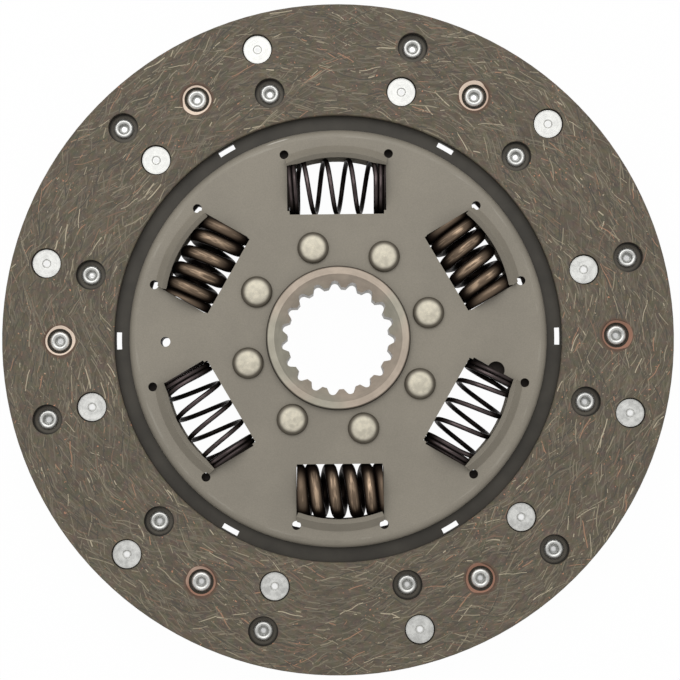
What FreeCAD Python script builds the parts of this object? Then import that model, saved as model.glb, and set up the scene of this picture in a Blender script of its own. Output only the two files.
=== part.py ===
import FreeCAD, Part
import os
import Sketcher

# A clutch disc with a torsion damper, in millimetres. The origin is on the hub's axis in the
# middle of the driven plate. +Z is the front, the side that meets the flywheel. The hub and its
# two cover plates are riveted together. The driven plate, which carries the linings, turns
# between the covers against six coil springs. Angles count from +X towards +Y.

# The radial sizes build on each other from the spline outwards, and those that start with an
# equals sign follow from others.
SIZES = [
    ("spline_teeth", 19, "number of teeth"),
    ("spline_tip", 34.3, "diameter over the tooth tips"),
    ("tooth_depth", 2.05, "from the tooth tips to the bottom of the tooth spaces"),
    ("spline_root", "=spline_tip + 2 * tooth_depth", "diameter at the bottom of the spaces"),
    ("space_round", 0.6, "height of the round bottom of a tooth space"),
    ("shoulder_diameter", "=spline_root - 2 * space_round", "where that bottom starts"),
    ("space_at_tip", 4.1, "width of a tooth space between the tooth tips"),
    ("space_at_shoulder", 2.34, "width of a tooth space where its round bottom starts"),
    ("spline_angle", 2.99, "turn of the tooth spaces, in degrees"),
    ("mouth_edge", 2.2, "from the bottom of the tooth spaces to the edge of the mouth"),
    ("mouth_diameter", "=spline_root + 2 * mouth_edge", "conical mouth at both ends"),
    ("boss_wall", 2.6, "flat ring between the mouth and the outside of the boss"),
    ("boss_diameter", "=mouth_diameter + 2 * boss_wall", "hub boss beside its flange"),
    ("boss_edge", 0.5, "chamfer on the ends of the boss"),
    ("boss_front", 8, "front end of the hub, above the middle"),
    ("boss_rear", 15.5, "rear end of the hub, below the middle"),
    ("hub_rivet_count", 8, "rivets that join the covers to the hub"),
    ("hub_rivet_inset", 7.3, "from the outside of the boss to the middle of a hub rivet"),
    ("hub_rivet_row", "=boss_diameter / 2 + hub_rivet_inset", "radius of the hub rivets"),
    ("hub_rivet_angle", 15, "angle of the first hub rivet"),
    ("hub_rivet_shank", 6, "diameter"),
    ("hub_rivet_head", 10.5, "diameter"),
    ("hub_rivet_height", 1.9, "height of the head"),
    ("hub_rivet_edge", 0.9, "width of the rounded edge of the head"),
    ("hub_rivet_flat", "=hub_rivet_head - 2 * hub_rivet_edge", "nearly flat top of the head"),
    ("hub_rivet_crown", 0.25, "how much that top is domed"),
    ("hub_rivet_wall", 0.7, "height of the straight side of the head"),
    ("flange_edge", 5.2, "from the middle of a hub rivet to the edge of the hub flange"),
    ("flange_diameter", "=2 * (hub_rivet_row + flange_edge)", "hub flange between the covers"),
    ("flange_thickness", 7, "hub flange, and so the space between the covers"),
    ("pilot_gap", 0.3, "between the hub flange and the bore of the driven plate"),
    ("friction_ring_width", 3.4, "from the inside to the outside of a friction ring"),
    ("friction_ring_bore", "=flange_diameter + 2 * pilot_gap", "inner diameter of that ring"),
    ("friction_ring_outer", "=friction_ring_bore + 2 * friction_ring_width", "outer diameter"),
    ("rear_ring_thickness", 1.2, "rear friction ring"),
    ("washer_thickness", 0.5, "sheet of the conical washer behind it"),
    ("plate_hoop", 3.7, "from the bore of the driven plate to its windows"),
    ("window_inner", "=friction_ring_bore / 2 + plate_hoop", "inner edge of the plate windows"),
    ("window_gap", 0.9, "between a thin spring and the inner and outer edge of its plate window"),
    ("thin_spring_diameter", 19.6, "over the coils"),
    ("thin_wire", 1.55, "diameter"),
    ("thin_turns", 3.4, "open turns between the closed ends"),
    ("thin_closed", 1.95, "closed turns at each end"),
    ("thin_start", 36, "angle where the wire starts, from the back"),
    ("thick_spring_diameter", 19.2, "over the coils"),
    ("thick_wire", 4.3, "diameter"),
    ("thick_turns", 3.05, "open turns between the closed ends"),
    ("thick_closed", 1.15, "closed turns at each end"),
    ("thick_start", 50, "angle where the wire starts, from the back"),
    ("closed_pitch", 1.04, "pitch of the closed end turns, as a share of the wire"),
    ("spring_row", "=window_inner + window_gap + thin_spring_diameter / 2",
     "distance from the axis to the middle of each spring"),
    ("end_gap", 0.1, "between the end of a spring and the side of its window"),
    ("spring_clearance", 0.3, "between a spring and the underside of its flap"),
    ("thin_edge_gap", 0.55, "between a thin spring and the inner edge of its cover window"),
    ("thin_inner",
     "=spring_row - sqrt((thin_spring_diameter / 2) ^ 2 - (flange_thickness / 2) ^ 2)"
     " - thin_edge_gap",
     "straight inner edge of a window with a thin spring, from the axis"),
    ("thin_half", 15.8, "half the window's width at that edge"),
    ("thin_taper", 0.8, "how much wider each half is at the outer corners"),
    ("thin_outer_half", "=thin_half + thin_taper", "half the width at the outer corners"),
    ("thin_relief_side", 0.9, "from an outer corner sideways to the middle of the relief hole"),
    ("thin_relief_half", "=thin_outer_half + thin_relief_side", "place of the relief hole"),
    ("thick_edge_gap", 0.16, "between a thick spring and the inner edge of its cover window"),
    ("thick_inner",
     "=spring_row - sqrt((thick_spring_diameter / 2) ^ 2 - (flange_thickness / 2) ^ 2)"
     " - thick_edge_gap",
     "straight inner edge of a window with a thick spring, from the axis"),
    ("thick_half", 14.3, "half the window's width at that edge"),
    ("thick_taper", 0.3, "how much wider each half is at the outer corners"),
    ("thick_outer_half", "=thick_half + thick_taper", "half the width at the outer corners"),
    ("thick_relief_side", 0.05, "from an outer corner sideways to the middle of the relief hole"),
    ("thick_relief_half", "=thick_outer_half + thick_relief_side", "place of the relief hole"),
    ("bend_gap", 3.6, "from the outside of a thin spring to the bend of its flap"),
    ("bend_radius", "=spring_row + thin_spring_diameter / 2 + bend_gap",
     "from the axis to the middle of the line where the spring flaps bend out"),
    ("flap_curve", 43.8, "radius of that line, seen from the front"),
    ("flap_centre", "=bend_radius - flap_curve", "from the axis to the centre of that line"),
    ("flap_angle", 48, "slope of a spring flap, in degrees"),
    ("flap_length", 3.9, "length of the sloping part of a flap"),
    ("flap_overlap", 1, "how much too wide a flap is before its sides are trimmed"),
    ("trim_reach", 4, "how far past the side of a flap the trimming goes"),
    ("corner_drop", 4.9, "from the bend in to the outer corners of the windows"),
    ("corner_radius", "=bend_radius - corner_drop", "radius of those corners"),
    ("relief_drop", 0.5, "from the bend in to the relief holes"),
    ("relief_row", "=bend_radius - relief_drop", "radius of the relief holes"),
    ("relief_diameter", 3, "relief holes"),
    ("slit_shift", 0.2, "from the middle of a relief hole to the side of the flap"),
    ("cover_thickness", 2, "sheet of both cover plates"),
    ("cover_bore_gap", 0.2, "between the hub boss and the bore of a cover"),
    ("rim_margin", 5.4, "from the bend of the flaps to the outside of the rim"),
    ("cover_diameter", "=2 * (bend_radius + rim_margin)", "over the turned-down rim"),
    ("rim_bend", 0.6, "inner bend radius of the rim"),
    ("rim_gap", 0.3, "between the edge of the rim and the driven plate"),
    ("sight_hole_diameter", 3.3, "small hole through both covers and the driven plate"),
    ("sight_hole_shift", 6.6, "from the row of springs out to that hole"),
    ("sight_hole_row", "=spring_row + sight_hole_shift", "radius of that hole"),
    ("sight_hole_angle", 180.65, "angle of that hole"),
    ("notch_diameter", 5.8, "round notch in the front cover beside a thin window"),
    ("notch_shift", 2.6, "from the row of springs out to the notch"),
    ("notch_row", "=spring_row + notch_shift", "radius of the notch"),
    ("notch_angle", 347.85, "angle of the notch"),
    ("plate_thickness", 2, "driven plate"),
    ("plate_taper", 0.6, "how much wider each half of a thin spring's plate window gets"),
    ("thin_window_outer", "=spring_row + thin_spring_diameter / 2 + window_gap",
     "straight outer edge of that window, from the axis"),
    ("thick_play", 2, "free play of a thick spring in the driven plate, each way"),
    ("window_half", "=thick_half + thick_play", "half the width of its plate window"),
    ("window_margin", 0.2, "from the bend of the flaps to the outer edge of that window"),
    ("window_outer", "=bend_radius + window_margin", "radius of that outer edge"),
    ("window_corner", 1, "rounding of the corners of all plate windows"),
    ("slot_gap", 2.7, "from the outside of the covers to the short slots"),
    ("ring_slot_inner", "=cover_diameter / 2 + slot_gap", "inner radius of the short slots"),
    ("ring_slot_width", 1.8, "width of the short slots"),
    ("ring_slot_outer", "=ring_slot_inner + ring_slot_width", "outer radius of the short slots"),
    ("ring_slot_angle", 4.5, "length of a short slot, in degrees"),
    ("lining_gap", 0.5, "from the short slots to the lining"),
    ("lining_bore", "=2 * (ring_slot_outer + lining_gap)", "inner diameter of both linings"),
    ("lining_width", 37.5, "from the inside to the outside of a lining"),
    ("lining_diameter", "=lining_bore + 2 * lining_width", "outer diameter of both linings"),
    ("lining_thickness", 3.5, "one lining"),
    ("lining_edge", 0.3, "chamfer on the edges of the friction face"),
    ("plate_margin", 2, "lining that stands out past the driven plate, each side"),
    ("sectors", 6, "times that the pattern of the lining repeats round the disc"),
    ("sector_slot_width", 3, "slot that parts the driven plate's rim into sectors"),
    ("sector_start", 4, "from the inside of the lining to the round end of such a slot"),
    ("sector_slot_inner", "=lining_bore / 2 + sector_start", "radius of that round end"),
    ("sector_hole_diameter", 6, "round end of a sector slot"),
    ("inner_row_inset", 10.6, "from the inside of the lining to the inner row of rivets"),
    ("inner_row", "=lining_bore / 2 + inner_row_inset", "radius of the inner row"),
    ("outer_row_inset", 11.5, "from the outer row of rivets to the outside of the lining"),
    ("outer_row", "=lining_diameter / 2 - outer_row_inset", "radius of the outer row"),
    ("middle_row", "=(inner_row + outer_row) / 2", "radius of the rivets through both linings"),
    ("row_step", 15, "angle from a through rivet to the first pair of lining rivets"),
    ("head_recess_diameter", 10.2, "recess for the flat head of a lining rivet"),
    ("head_recess_depth", 2.3, "from the friction face to the floor under the head"),
    ("access_diameter", 10.1, "hole in the far lining over a rolled rivet end"),
    ("through_recess_diameter", 8.4, "recess for both ends of a through rivet"),
    ("through_recess_depth", 2.2, "from the friction face to its floor"),
    ("through_recess_mouth", 10.5, "countersunk mouth of that recess"),
    ("shank_diameter", 4.5, "tubular rivets of the linings"),
    ("tube_bore", 2.9, "bore of a tubular rivet"),
    ("flat_head_diameter", 9.7, "flat head of a lining rivet"),
    ("flat_head_height", 0.8, "flat head of a lining rivet"),
    ("through_head_diameter", 8, "flat head of a through rivet"),
    ("dimple_diameter", 3, "centre mark in a flat head"),
    ("dimple_depth", 0.25, "centre mark in a flat head"),
    ("rolled_diameter", 6.7, "rolled end of a tubular rivet"),
    ("rolled_height", 1.2, "rolled end of a tubular rivet"),
    ("rivet_clearance", 0.1, "between a rivet's shank and its hole, each side"),
]

doc = FreeCAD.newDocument("clutch_disc")
sizes = doc.addObject("Spreadsheet::Sheet", "Sizes")
for number, (alias, size, meaning) in enumerate(SIZES, start=1):
    sizes.set(f"A{number}", alias.replace("_", " "))
    sizes.set(f"B{number}", str(size))
    sizes.set(f"C{number}", meaning)
    sizes.setAlias(f"B{number}", alias)
doc.recompute()

# Heights that several pieces share, as expressions of the sheet's sizes.
PLATE_TOP = "Sizes.plate_thickness / 2"
LINING_TOP = "(Sizes.plate_thickness / 2 + Sizes.lining_thickness)"
COVER_INSIDE = "Sizes.flange_thickness / 2"
COVER_OUTSIDE = "(Sizes.flange_thickness / 2 + Sizes.cover_thickness)"
HEAD_SEAT = f"({LINING_TOP} - Sizes.head_recess_depth)"
THROUGH_SEAT = f"({LINING_TOP} - Sizes.through_recess_depth)"
RIVET_HOLE = "(Sizes.shank_diameter / 2 + Sizes.rivet_clearance)"
THIN_LENGTH = "(2 * (Sizes.thin_half - Sizes.end_gap))"
THICK_LENGTH = "(2 * (Sizes.thick_half - Sizes.end_gap))"


def value(expression):
    """Work out an expression of the sheet's sizes."""
    return float(sizes.evalExpression(expression))


def polar(radius, angle):
    """Give the x and y expressions of a point at a radius and an angle in degrees."""
    return f"({radius}) * cos({angle})", f"({radius}) * sin({angle})"


def origin_feature(body, role):
    """Find one of the body's own origin planes or axes by its role."""
    return next(item for item in body.Origin.OriginFeatures if item.Role == role)


def new_body(name):
    """Add a body for one sub-part. Its label names the file."""
    body = doc.addObject("PartDesign::Body", name)
    body.Label = name
    body.AllowCompound = True
    return body


def new_sketch(body, name, plane="XY_Plane", height=None, turn=None, centre=None):
    """Add a sketch on an origin plane: raised, turned about +Z, or with its origin moved."""
    sketch = body.newObject("Sketcher::SketchObject", name)
    sketch.AttachmentSupport = [(origin_feature(body, plane), "")]
    sketch.MapMode = "FlatFace"
    if turn is not None:
        # On a standing plane the sketch's own y axis is the part's +Z.
        axis = FreeCAD.Vector(0, 0, 1) if plane == "XY_Plane" else FreeCAD.Vector(0, 1, 0)
        rotation = FreeCAD.Rotation(axis, value(turn))
        sketch.AttachmentOffset = FreeCAD.Placement(FreeCAD.Vector(), rotation)
        sketch.setExpression("AttachmentOffset.Rotation.Angle", turn)
    if height is not None:
        sketch.setExpression("AttachmentOffset.Base.z", height)
    if centre is not None:
        # On the XZ plane the sketch's own z axis points along -Y.
        sketch.setExpression("AttachmentOffset.Base.x", centre[0])
        sketch.setExpression("AttachmentOffset.Base.z", f"-({centre[1]})")
    return sketch


def constrain(sketch, kind, places, expression):
    """Add one dimension to a sketch and bind it to an expression."""
    constraint = Sketcher.Constraint(kind, *places, value(expression))
    index = sketch.addConstraint(constraint)
    sketch.setExpression(f"Constraints[{index}]", expression)


def circle(sketch, x, y, radius):
    """Draw a circle about a point given by two expressions."""
    centre = FreeCAD.Vector(value(x), value(y), 0)
    shape = Part.Circle(centre, FreeCAD.Vector(0, 0, 1), value(radius))
    index = sketch.addGeometry(shape, False)
    constrain(sketch, "DistanceX", (-1, 1, index, 3), x)
    constrain(sketch, "DistanceY", (-1, 1, index, 3), y)
    constrain(sketch, "Radius", (index,), radius)


def arc_between(start, end, radius):
    """Make the short arc from start to end that turns left round its centre."""
    chord = end - start
    reach = max(radius * radius - chord.Length * chord.Length / 4, 0) ** 0.5
    left = FreeCAD.Vector(-chord.y, chord.x, 0)
    left.normalize()
    centre = (start + end) * 0.5 + left * reach
    ring = Part.Circle(centre, FreeCAD.Vector(0, 0, 1), radius)
    return Part.ArcOfCircle(ring, ring.parameter(start), ring.parameter(end))


def outline(sketch, corners):
    """Draw a closed outline, anticlockwise, through corners of (x, y) or (x, y, radius).

    The side that starts at a corner is straight, or an arc of that radius that bulges outwards.
    A radius with the word "inwards" after it makes an arc that is hollow, and the word "dome"
    one whose centre lies on the sketch's upright axis.
    """
    points = [FreeCAD.Vector(value(corner[0]), value(corner[1]), 0) for corner in corners]
    ends = []
    for number, corner in enumerate(corners):
        start = points[number]
        end = points[(number + 1) % len(points)]
        if len(corner) == 2:
            index = sketch.addGeometry(Part.LineSegment(start, end), False)
            ends.append((index, 1, 2))
        elif corner[-1] != "inwards":
            index = sketch.addGeometry(arc_between(start, end, value(corner[2])), False)
            ends.append((index, 1, 2))
        else:
            index = sketch.addGeometry(arc_between(end, start, value(corner[2])), False)
            ends.append((index, 2, 1))
    for number, (index, first, last) in enumerate(ends):
        after, after_first, after_last = ends[(number + 1) % len(ends)]
        sketch.addConstraint(Sketcher.Constraint("Coincident", index, last, after, after_first))
    for number, (index, first, last) in enumerate(ends):
        corner = corners[number]
        constrain(sketch, "DistanceX", (-1, 1, index, first), corner[0])
        constrain(sketch, "DistanceY", (-1, 1, index, first), corner[1])
        if corner[-1] == "dome":
            sketch.addConstraint(Sketcher.Constraint("PointOnObject", index, 3, -2))
        elif len(corner) > 2:
            constrain(sketch, "Radius", (index,), corner[2])


def pad(body, name, sketch, length):
    """Raise a sketch into a solid that is centred on the sketch's plane."""
    feature = body.newObject("PartDesign::Pad", name)
    feature.Profile = sketch
    feature.Midplane = True
    feature.setExpression("Length", length)
    doc.recompute()
    return feature


def revolve(body, name, sketch, angle=None):
    """Turn a sketch round its own upright axis, fully or by an angle split over both sides."""
    feature = body.newObject("PartDesign::Revolution", name)
    feature.Profile = sketch
    feature.ReferenceAxis = (sketch, ["V_Axis"])
    if angle is None:
        feature.Angle = 360
    else:
        feature.Midplane = True
        feature.setExpression("Angle", angle)
    doc.recompute()
    return feature


def cut(body, name, sketch, depth=None, both_ways=False):
    """Cut a sketch down into the body, right through unless a depth is given."""
    before = body.Shape.Volume
    feature = body.newObject("PartDesign::Pocket", name)
    feature.Profile = sketch
    if depth is None:
        feature.Type = "ThroughAll"
    else:
        feature.Midplane = both_ways
        feature.setExpression("Length", depth)
    doc.recompute()
    if not feature.Shape.Volume < before - 0.001:
        raise ValueError(f"{name} cuts nothing")
    return feature


def repeat(body, name, features, count):
    """Repeat features evenly round +Z."""
    pattern = body.newObject("PartDesign::PolarPattern", name)
    pattern.Originals = features
    pattern.Axis = (origin_feature(body, "Z_Axis"), [""])
    pattern.Angle = 360
    pattern.setExpression("Occurrences", count)
    body.Tip = pattern
    doc.recompute()
    return pattern


def edges_where(shape, test):
    """Name the edges of a shape whose middle passes a test."""
    found = []
    for number, edge in enumerate(shape.Edges, start=1):
        middle = edge.valueAt((edge.FirstParameter + edge.LastParameter) / 2)
        if test(edge, middle):
            found.append(f"Edge{number}")
    return found


def make_hub():
    """Boss, flange and spline. The boss runs further out at the back than at the front."""
    body = new_body("hub")
    tip = "Sizes.spline_tip / 2"
    mouth = "Sizes.mouth_diameter / 2"
    boss = "Sizes.boss_diameter / 2"
    flange = "Sizes.flange_diameter / 2"
    slope = "(Sizes.mouth_diameter - Sizes.spline_tip) / 2"
    blank = new_sketch(body, "hub_outline", "XZ_Plane")
    outline(blank, [
        (tip, f"-Sizes.boss_rear + {slope}"),
        (mouth, "-Sizes.boss_rear"),
        (f"{boss} - Sizes.boss_edge", "-Sizes.boss_rear"),
        (boss, "-Sizes.boss_rear + Sizes.boss_edge"),
        (boss, f"-{COVER_INSIDE}"),
        (flange, f"-{COVER_INSIDE}"),
        (flange, COVER_INSIDE),
        (boss, COVER_INSIDE),
        (boss, "Sizes.boss_front - Sizes.boss_edge"),
        (f"{boss} - Sizes.boss_edge", "Sizes.boss_front"),
        (mouth, "Sizes.boss_front"),
        (tip, f"Sizes.boss_front - {slope}"),
    ])
    revolve(body, "hub_blank", blank)
    space = new_sketch(body, "tooth_space_outline", height="Sizes.boss_front + 1",
                       turn="Sizes.spline_angle")
    # A tooth space opens into the bore between two tooth tips, and its outline ends well inside.
    opening = f"sqrt(({tip}) ^ 2 - (Sizes.space_at_tip / 2) ^ 2)"
    outline(space, [
        ("-Sizes.space_at_tip / 2", f"{opening} - Sizes.tooth_depth / 2"),
        ("Sizes.space_at_tip / 2", f"{opening} - Sizes.tooth_depth / 2"),
        ("Sizes.space_at_tip / 2", opening),
        ("Sizes.space_at_shoulder / 2", "Sizes.shoulder_diameter / 2",
         "((Sizes.space_at_shoulder / 2) ^ 2"
         " + (Sizes.spline_root / 2 - Sizes.shoulder_diameter / 2) ^ 2)"
         " / (Sizes.spline_root - Sizes.shoulder_diameter)"),
        ("-Sizes.space_at_shoulder / 2", "Sizes.shoulder_diameter / 2"),
        ("-Sizes.space_at_tip / 2", opening),
    ])
    tooth_space = cut(body, "tooth_space", space)
    repeat(body, "tooth_spaces", [tooth_space], "Sizes.spline_teeth")
    holes = new_sketch(body, "rivet_hole_outline", height=f"{COVER_OUTSIDE} + 1")
    x, y = polar("Sizes.hub_rivet_row", "Sizes.hub_rivet_angle")
    circle(holes, x, y, "Sizes.hub_rivet_shank / 2 + Sizes.rivet_clearance")
    hole = cut(body, "rivet_hole", holes)
    repeat(body, "rivet_holes", [hole], "Sizes.hub_rivet_count")


def flap_side(kind):
    """Give the height of a window's outer corner and the point where the flap's bend ends."""
    corner = f"sqrt(Sizes.corner_radius ^ 2 - Sizes.{kind}_outer_half ^ 2)"
    bend_x = f"(Sizes.{kind}_relief_half - Sizes.slit_shift)"
    bend_y = f"(Sizes.flap_centre + sqrt(Sizes.flap_curve ^ 2 - {bend_x} ^ 2))"
    return corner, bend_x, bend_y


def window_cut(body, name, kind, turn):
    """Cut one window in a cover, with the slits that free the sides of its flap."""
    half = f"Sizes.{kind}_outer_half"
    corner, bend_x, bend_y = flap_side(kind)
    shape = new_sketch(body, f"{name}_outline", height=f"{COVER_OUTSIDE} + 1", turn=turn)
    outline(shape, [
        (f"-Sizes.{kind}_half", f"Sizes.{kind}_inner"),
        (f"Sizes.{kind}_half", f"Sizes.{kind}_inner"),
        (half, corner),
        (bend_x, bend_y, "Sizes.flap_curve"),
        (f"-{bend_x}", bend_y),
        (f"-{half}", corner),
    ])
    return cut(body, name, shape)


def flap(body, name, kind, turn):
    """Raise the flap that leans over a spring. It is made a little too wide."""
    rise = "Sizes.flap_length * sin(Sizes.flap_angle)"
    reach = "Sizes.flap_length * cos(Sizes.flap_angle)"
    thick = "Sizes.cover_thickness"
    bend_x = flap_side(kind)[1]
    shape = new_sketch(body, f"{name}_outline", "YZ_Plane", turn=turn)
    # The line of the bend has its own centre, on the middle line of the window.
    side = "-" if value(turn) else ""
    shape.setExpression("AttachmentOffset.Base.x", f"{side}Sizes.flap_centre")
    outline(shape, [
        (f"Sizes.flap_curve - {reach} - {thick} * sin(Sizes.flap_angle)",
         f"{COVER_OUTSIDE} + {rise} - {thick} * cos(Sizes.flap_angle)"),
        (f"Sizes.flap_curve - {thick} * tan(Sizes.flap_angle / 2)", COVER_INSIDE),
        ("Sizes.flap_curve + 0.3", COVER_INSIDE),
        ("Sizes.flap_curve + 0.3", COVER_OUTSIDE),
        ("Sizes.flap_curve", COVER_OUTSIDE),
        (f"Sizes.flap_curve - {reach}", f"{COVER_OUTSIDE} + {rise}"),
    ])
    width = f"2 * asin(({bend_x} + Sizes.flap_overlap) / Sizes.flap_curve)"
    return revolve(body, name, shape, width)


def flap_sides(body, name, kind, turn):
    """Trim both sides of a flap down to the sheet, in line with the corners of its window."""
    half = f"Sizes.{kind}_outer_half"
    corner, bend_x, bend_y = flap_side(kind)
    low = f"{corner} - Sizes.trim_reach"
    far = f"({half} + Sizes.trim_reach)"
    above = "(Sizes.flap_length + 1)"
    shape = new_sketch(body, f"{name}_outline", height=f"{COVER_OUTSIDE} + {above}", turn=turn)
    outline(shape, [
        (half, low),
        (far, low),
        (far, bend_y),
        (bend_x, bend_y),
        (half, corner),
    ])
    outline(shape, [
        (f"-{far}", low),
        (f"-{half}", low),
        (f"-{half}", corner),
        (f"-{bend_x}", bend_y),
        (f"-{far}", bend_y),
    ])
    return cut(body, name, shape, above)


def spring_seat(body, name, kind, turn):
    """Hollow the underside of a flap so that it clears the round of its spring."""
    shape = new_sketch(body, f"{name}_outline", "YZ_Plane", turn=turn)
    circle(shape, "Sizes.spring_row", "0",
           f"Sizes.{kind}_spring_diameter / 2 + Sizes.spring_clearance")
    return cut(body, name, shape, f"2 * Sizes.{kind}_outer_half", both_ways=True)


def relief_holes(body, name, kind, turn):
    """Drill the two round holes where the slits of one window end."""
    shape = new_sketch(body, f"{name}_outline", height=f"{COVER_OUTSIDE} + 1", turn=turn)
    y = f"sqrt(Sizes.relief_row ^ 2 - Sizes.{kind}_relief_half ^ 2)"
    for side in ("", "-"):
        circle(shape, f"{side}Sizes.{kind}_relief_half", y, "Sizes.relief_diameter / 2")
    return cut(body, name, shape)


def make_cover(name, rivet_angle, sight_angle, notched):
    """Pressed cover plate with a turned-down rim, six windows and a flap over each spring.

    It is drawn as the front cover. The rear one is turned over about the Y axis afterwards.
    """
    body = new_body(name)
    bore = "Sizes.boss_diameter / 2 + Sizes.cover_bore_gap"
    rim = "Sizes.cover_diameter / 2"
    thick = "Sizes.cover_thickness"
    blank = new_sketch(body, f"{name}_section", "XZ_Plane")
    outline(blank, [
        (bore, COVER_INSIDE),
        (f"{rim} - {thick} - Sizes.rim_bend", COVER_INSIDE, "Sizes.rim_bend", "inwards"),
        (f"{rim} - {thick}", f"{COVER_INSIDE} - Sizes.rim_bend"),
        (f"{rim} - {thick}", f"{PLATE_TOP} + Sizes.rim_gap"),
        (rim, f"{PLATE_TOP} + Sizes.rim_gap"),
        (rim, f"{COVER_INSIDE} - Sizes.rim_bend", f"Sizes.rim_bend + {thick}"),
        (f"{rim} - {thick} - Sizes.rim_bend", COVER_OUTSIDE),
        (bore, COVER_OUTSIDE),
    ])
    revolve(body, f"{name}_blank", blank)
    for kind, turn in (("thin", "0"), ("thick", "180")):
        opening = window_cut(body, f"{name}_{kind}_window", kind, turn)
        repeat(body, f"{name}_{kind}_windows", [opening], "Sizes.sectors / 2")
    for kind, turn in (("thin", "0"), ("thick", "180")):
        tongue = flap(body, f"{name}_{kind}_flap", kind, turn)
        repeat(body, f"{name}_{kind}_flaps", [tongue], "Sizes.sectors / 2")
        sides = flap_sides(body, f"{name}_{kind}_flap_sides", kind, turn)
        seat = spring_seat(body, f"{name}_{kind}_seat", kind, turn)
        relief = relief_holes(body, f"{name}_{kind}_relief", kind, turn)
        repeat(body, f"{name}_{kind}_seats", [sides, seat, relief], "Sizes.sectors / 2")
    holes = new_sketch(body, f"{name}_rivet_outline", height=f"{COVER_OUTSIDE} + 1")
    x, y = polar("Sizes.hub_rivet_row", rivet_angle)
    circle(holes, x, y, "Sizes.hub_rivet_shank / 2 + Sizes.rivet_clearance")
    hole = cut(body, f"{name}_rivet_hole", holes)
    repeat(body, f"{name}_rivet_holes", [hole], "Sizes.hub_rivet_count")
    sight = new_sketch(body, f"{name}_sight_outline", height=f"{COVER_OUTSIDE} + 1")
    x, y = polar("Sizes.sight_hole_row", sight_angle)
    circle(sight, x, y, "Sizes.sight_hole_diameter / 2")
    cut(body, f"{name}_sight_hole", sight)
    if notched:
        notch = new_sketch(body, f"{name}_notch_outline", height=f"{COVER_OUTSIDE} + 1")
        x, y = polar("Sizes.notch_row", "Sizes.notch_angle")
        circle(notch, x, y, "Sizes.notch_diameter / 2")
        cut(body, f"{name}_notch", notch)
    return body


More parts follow.
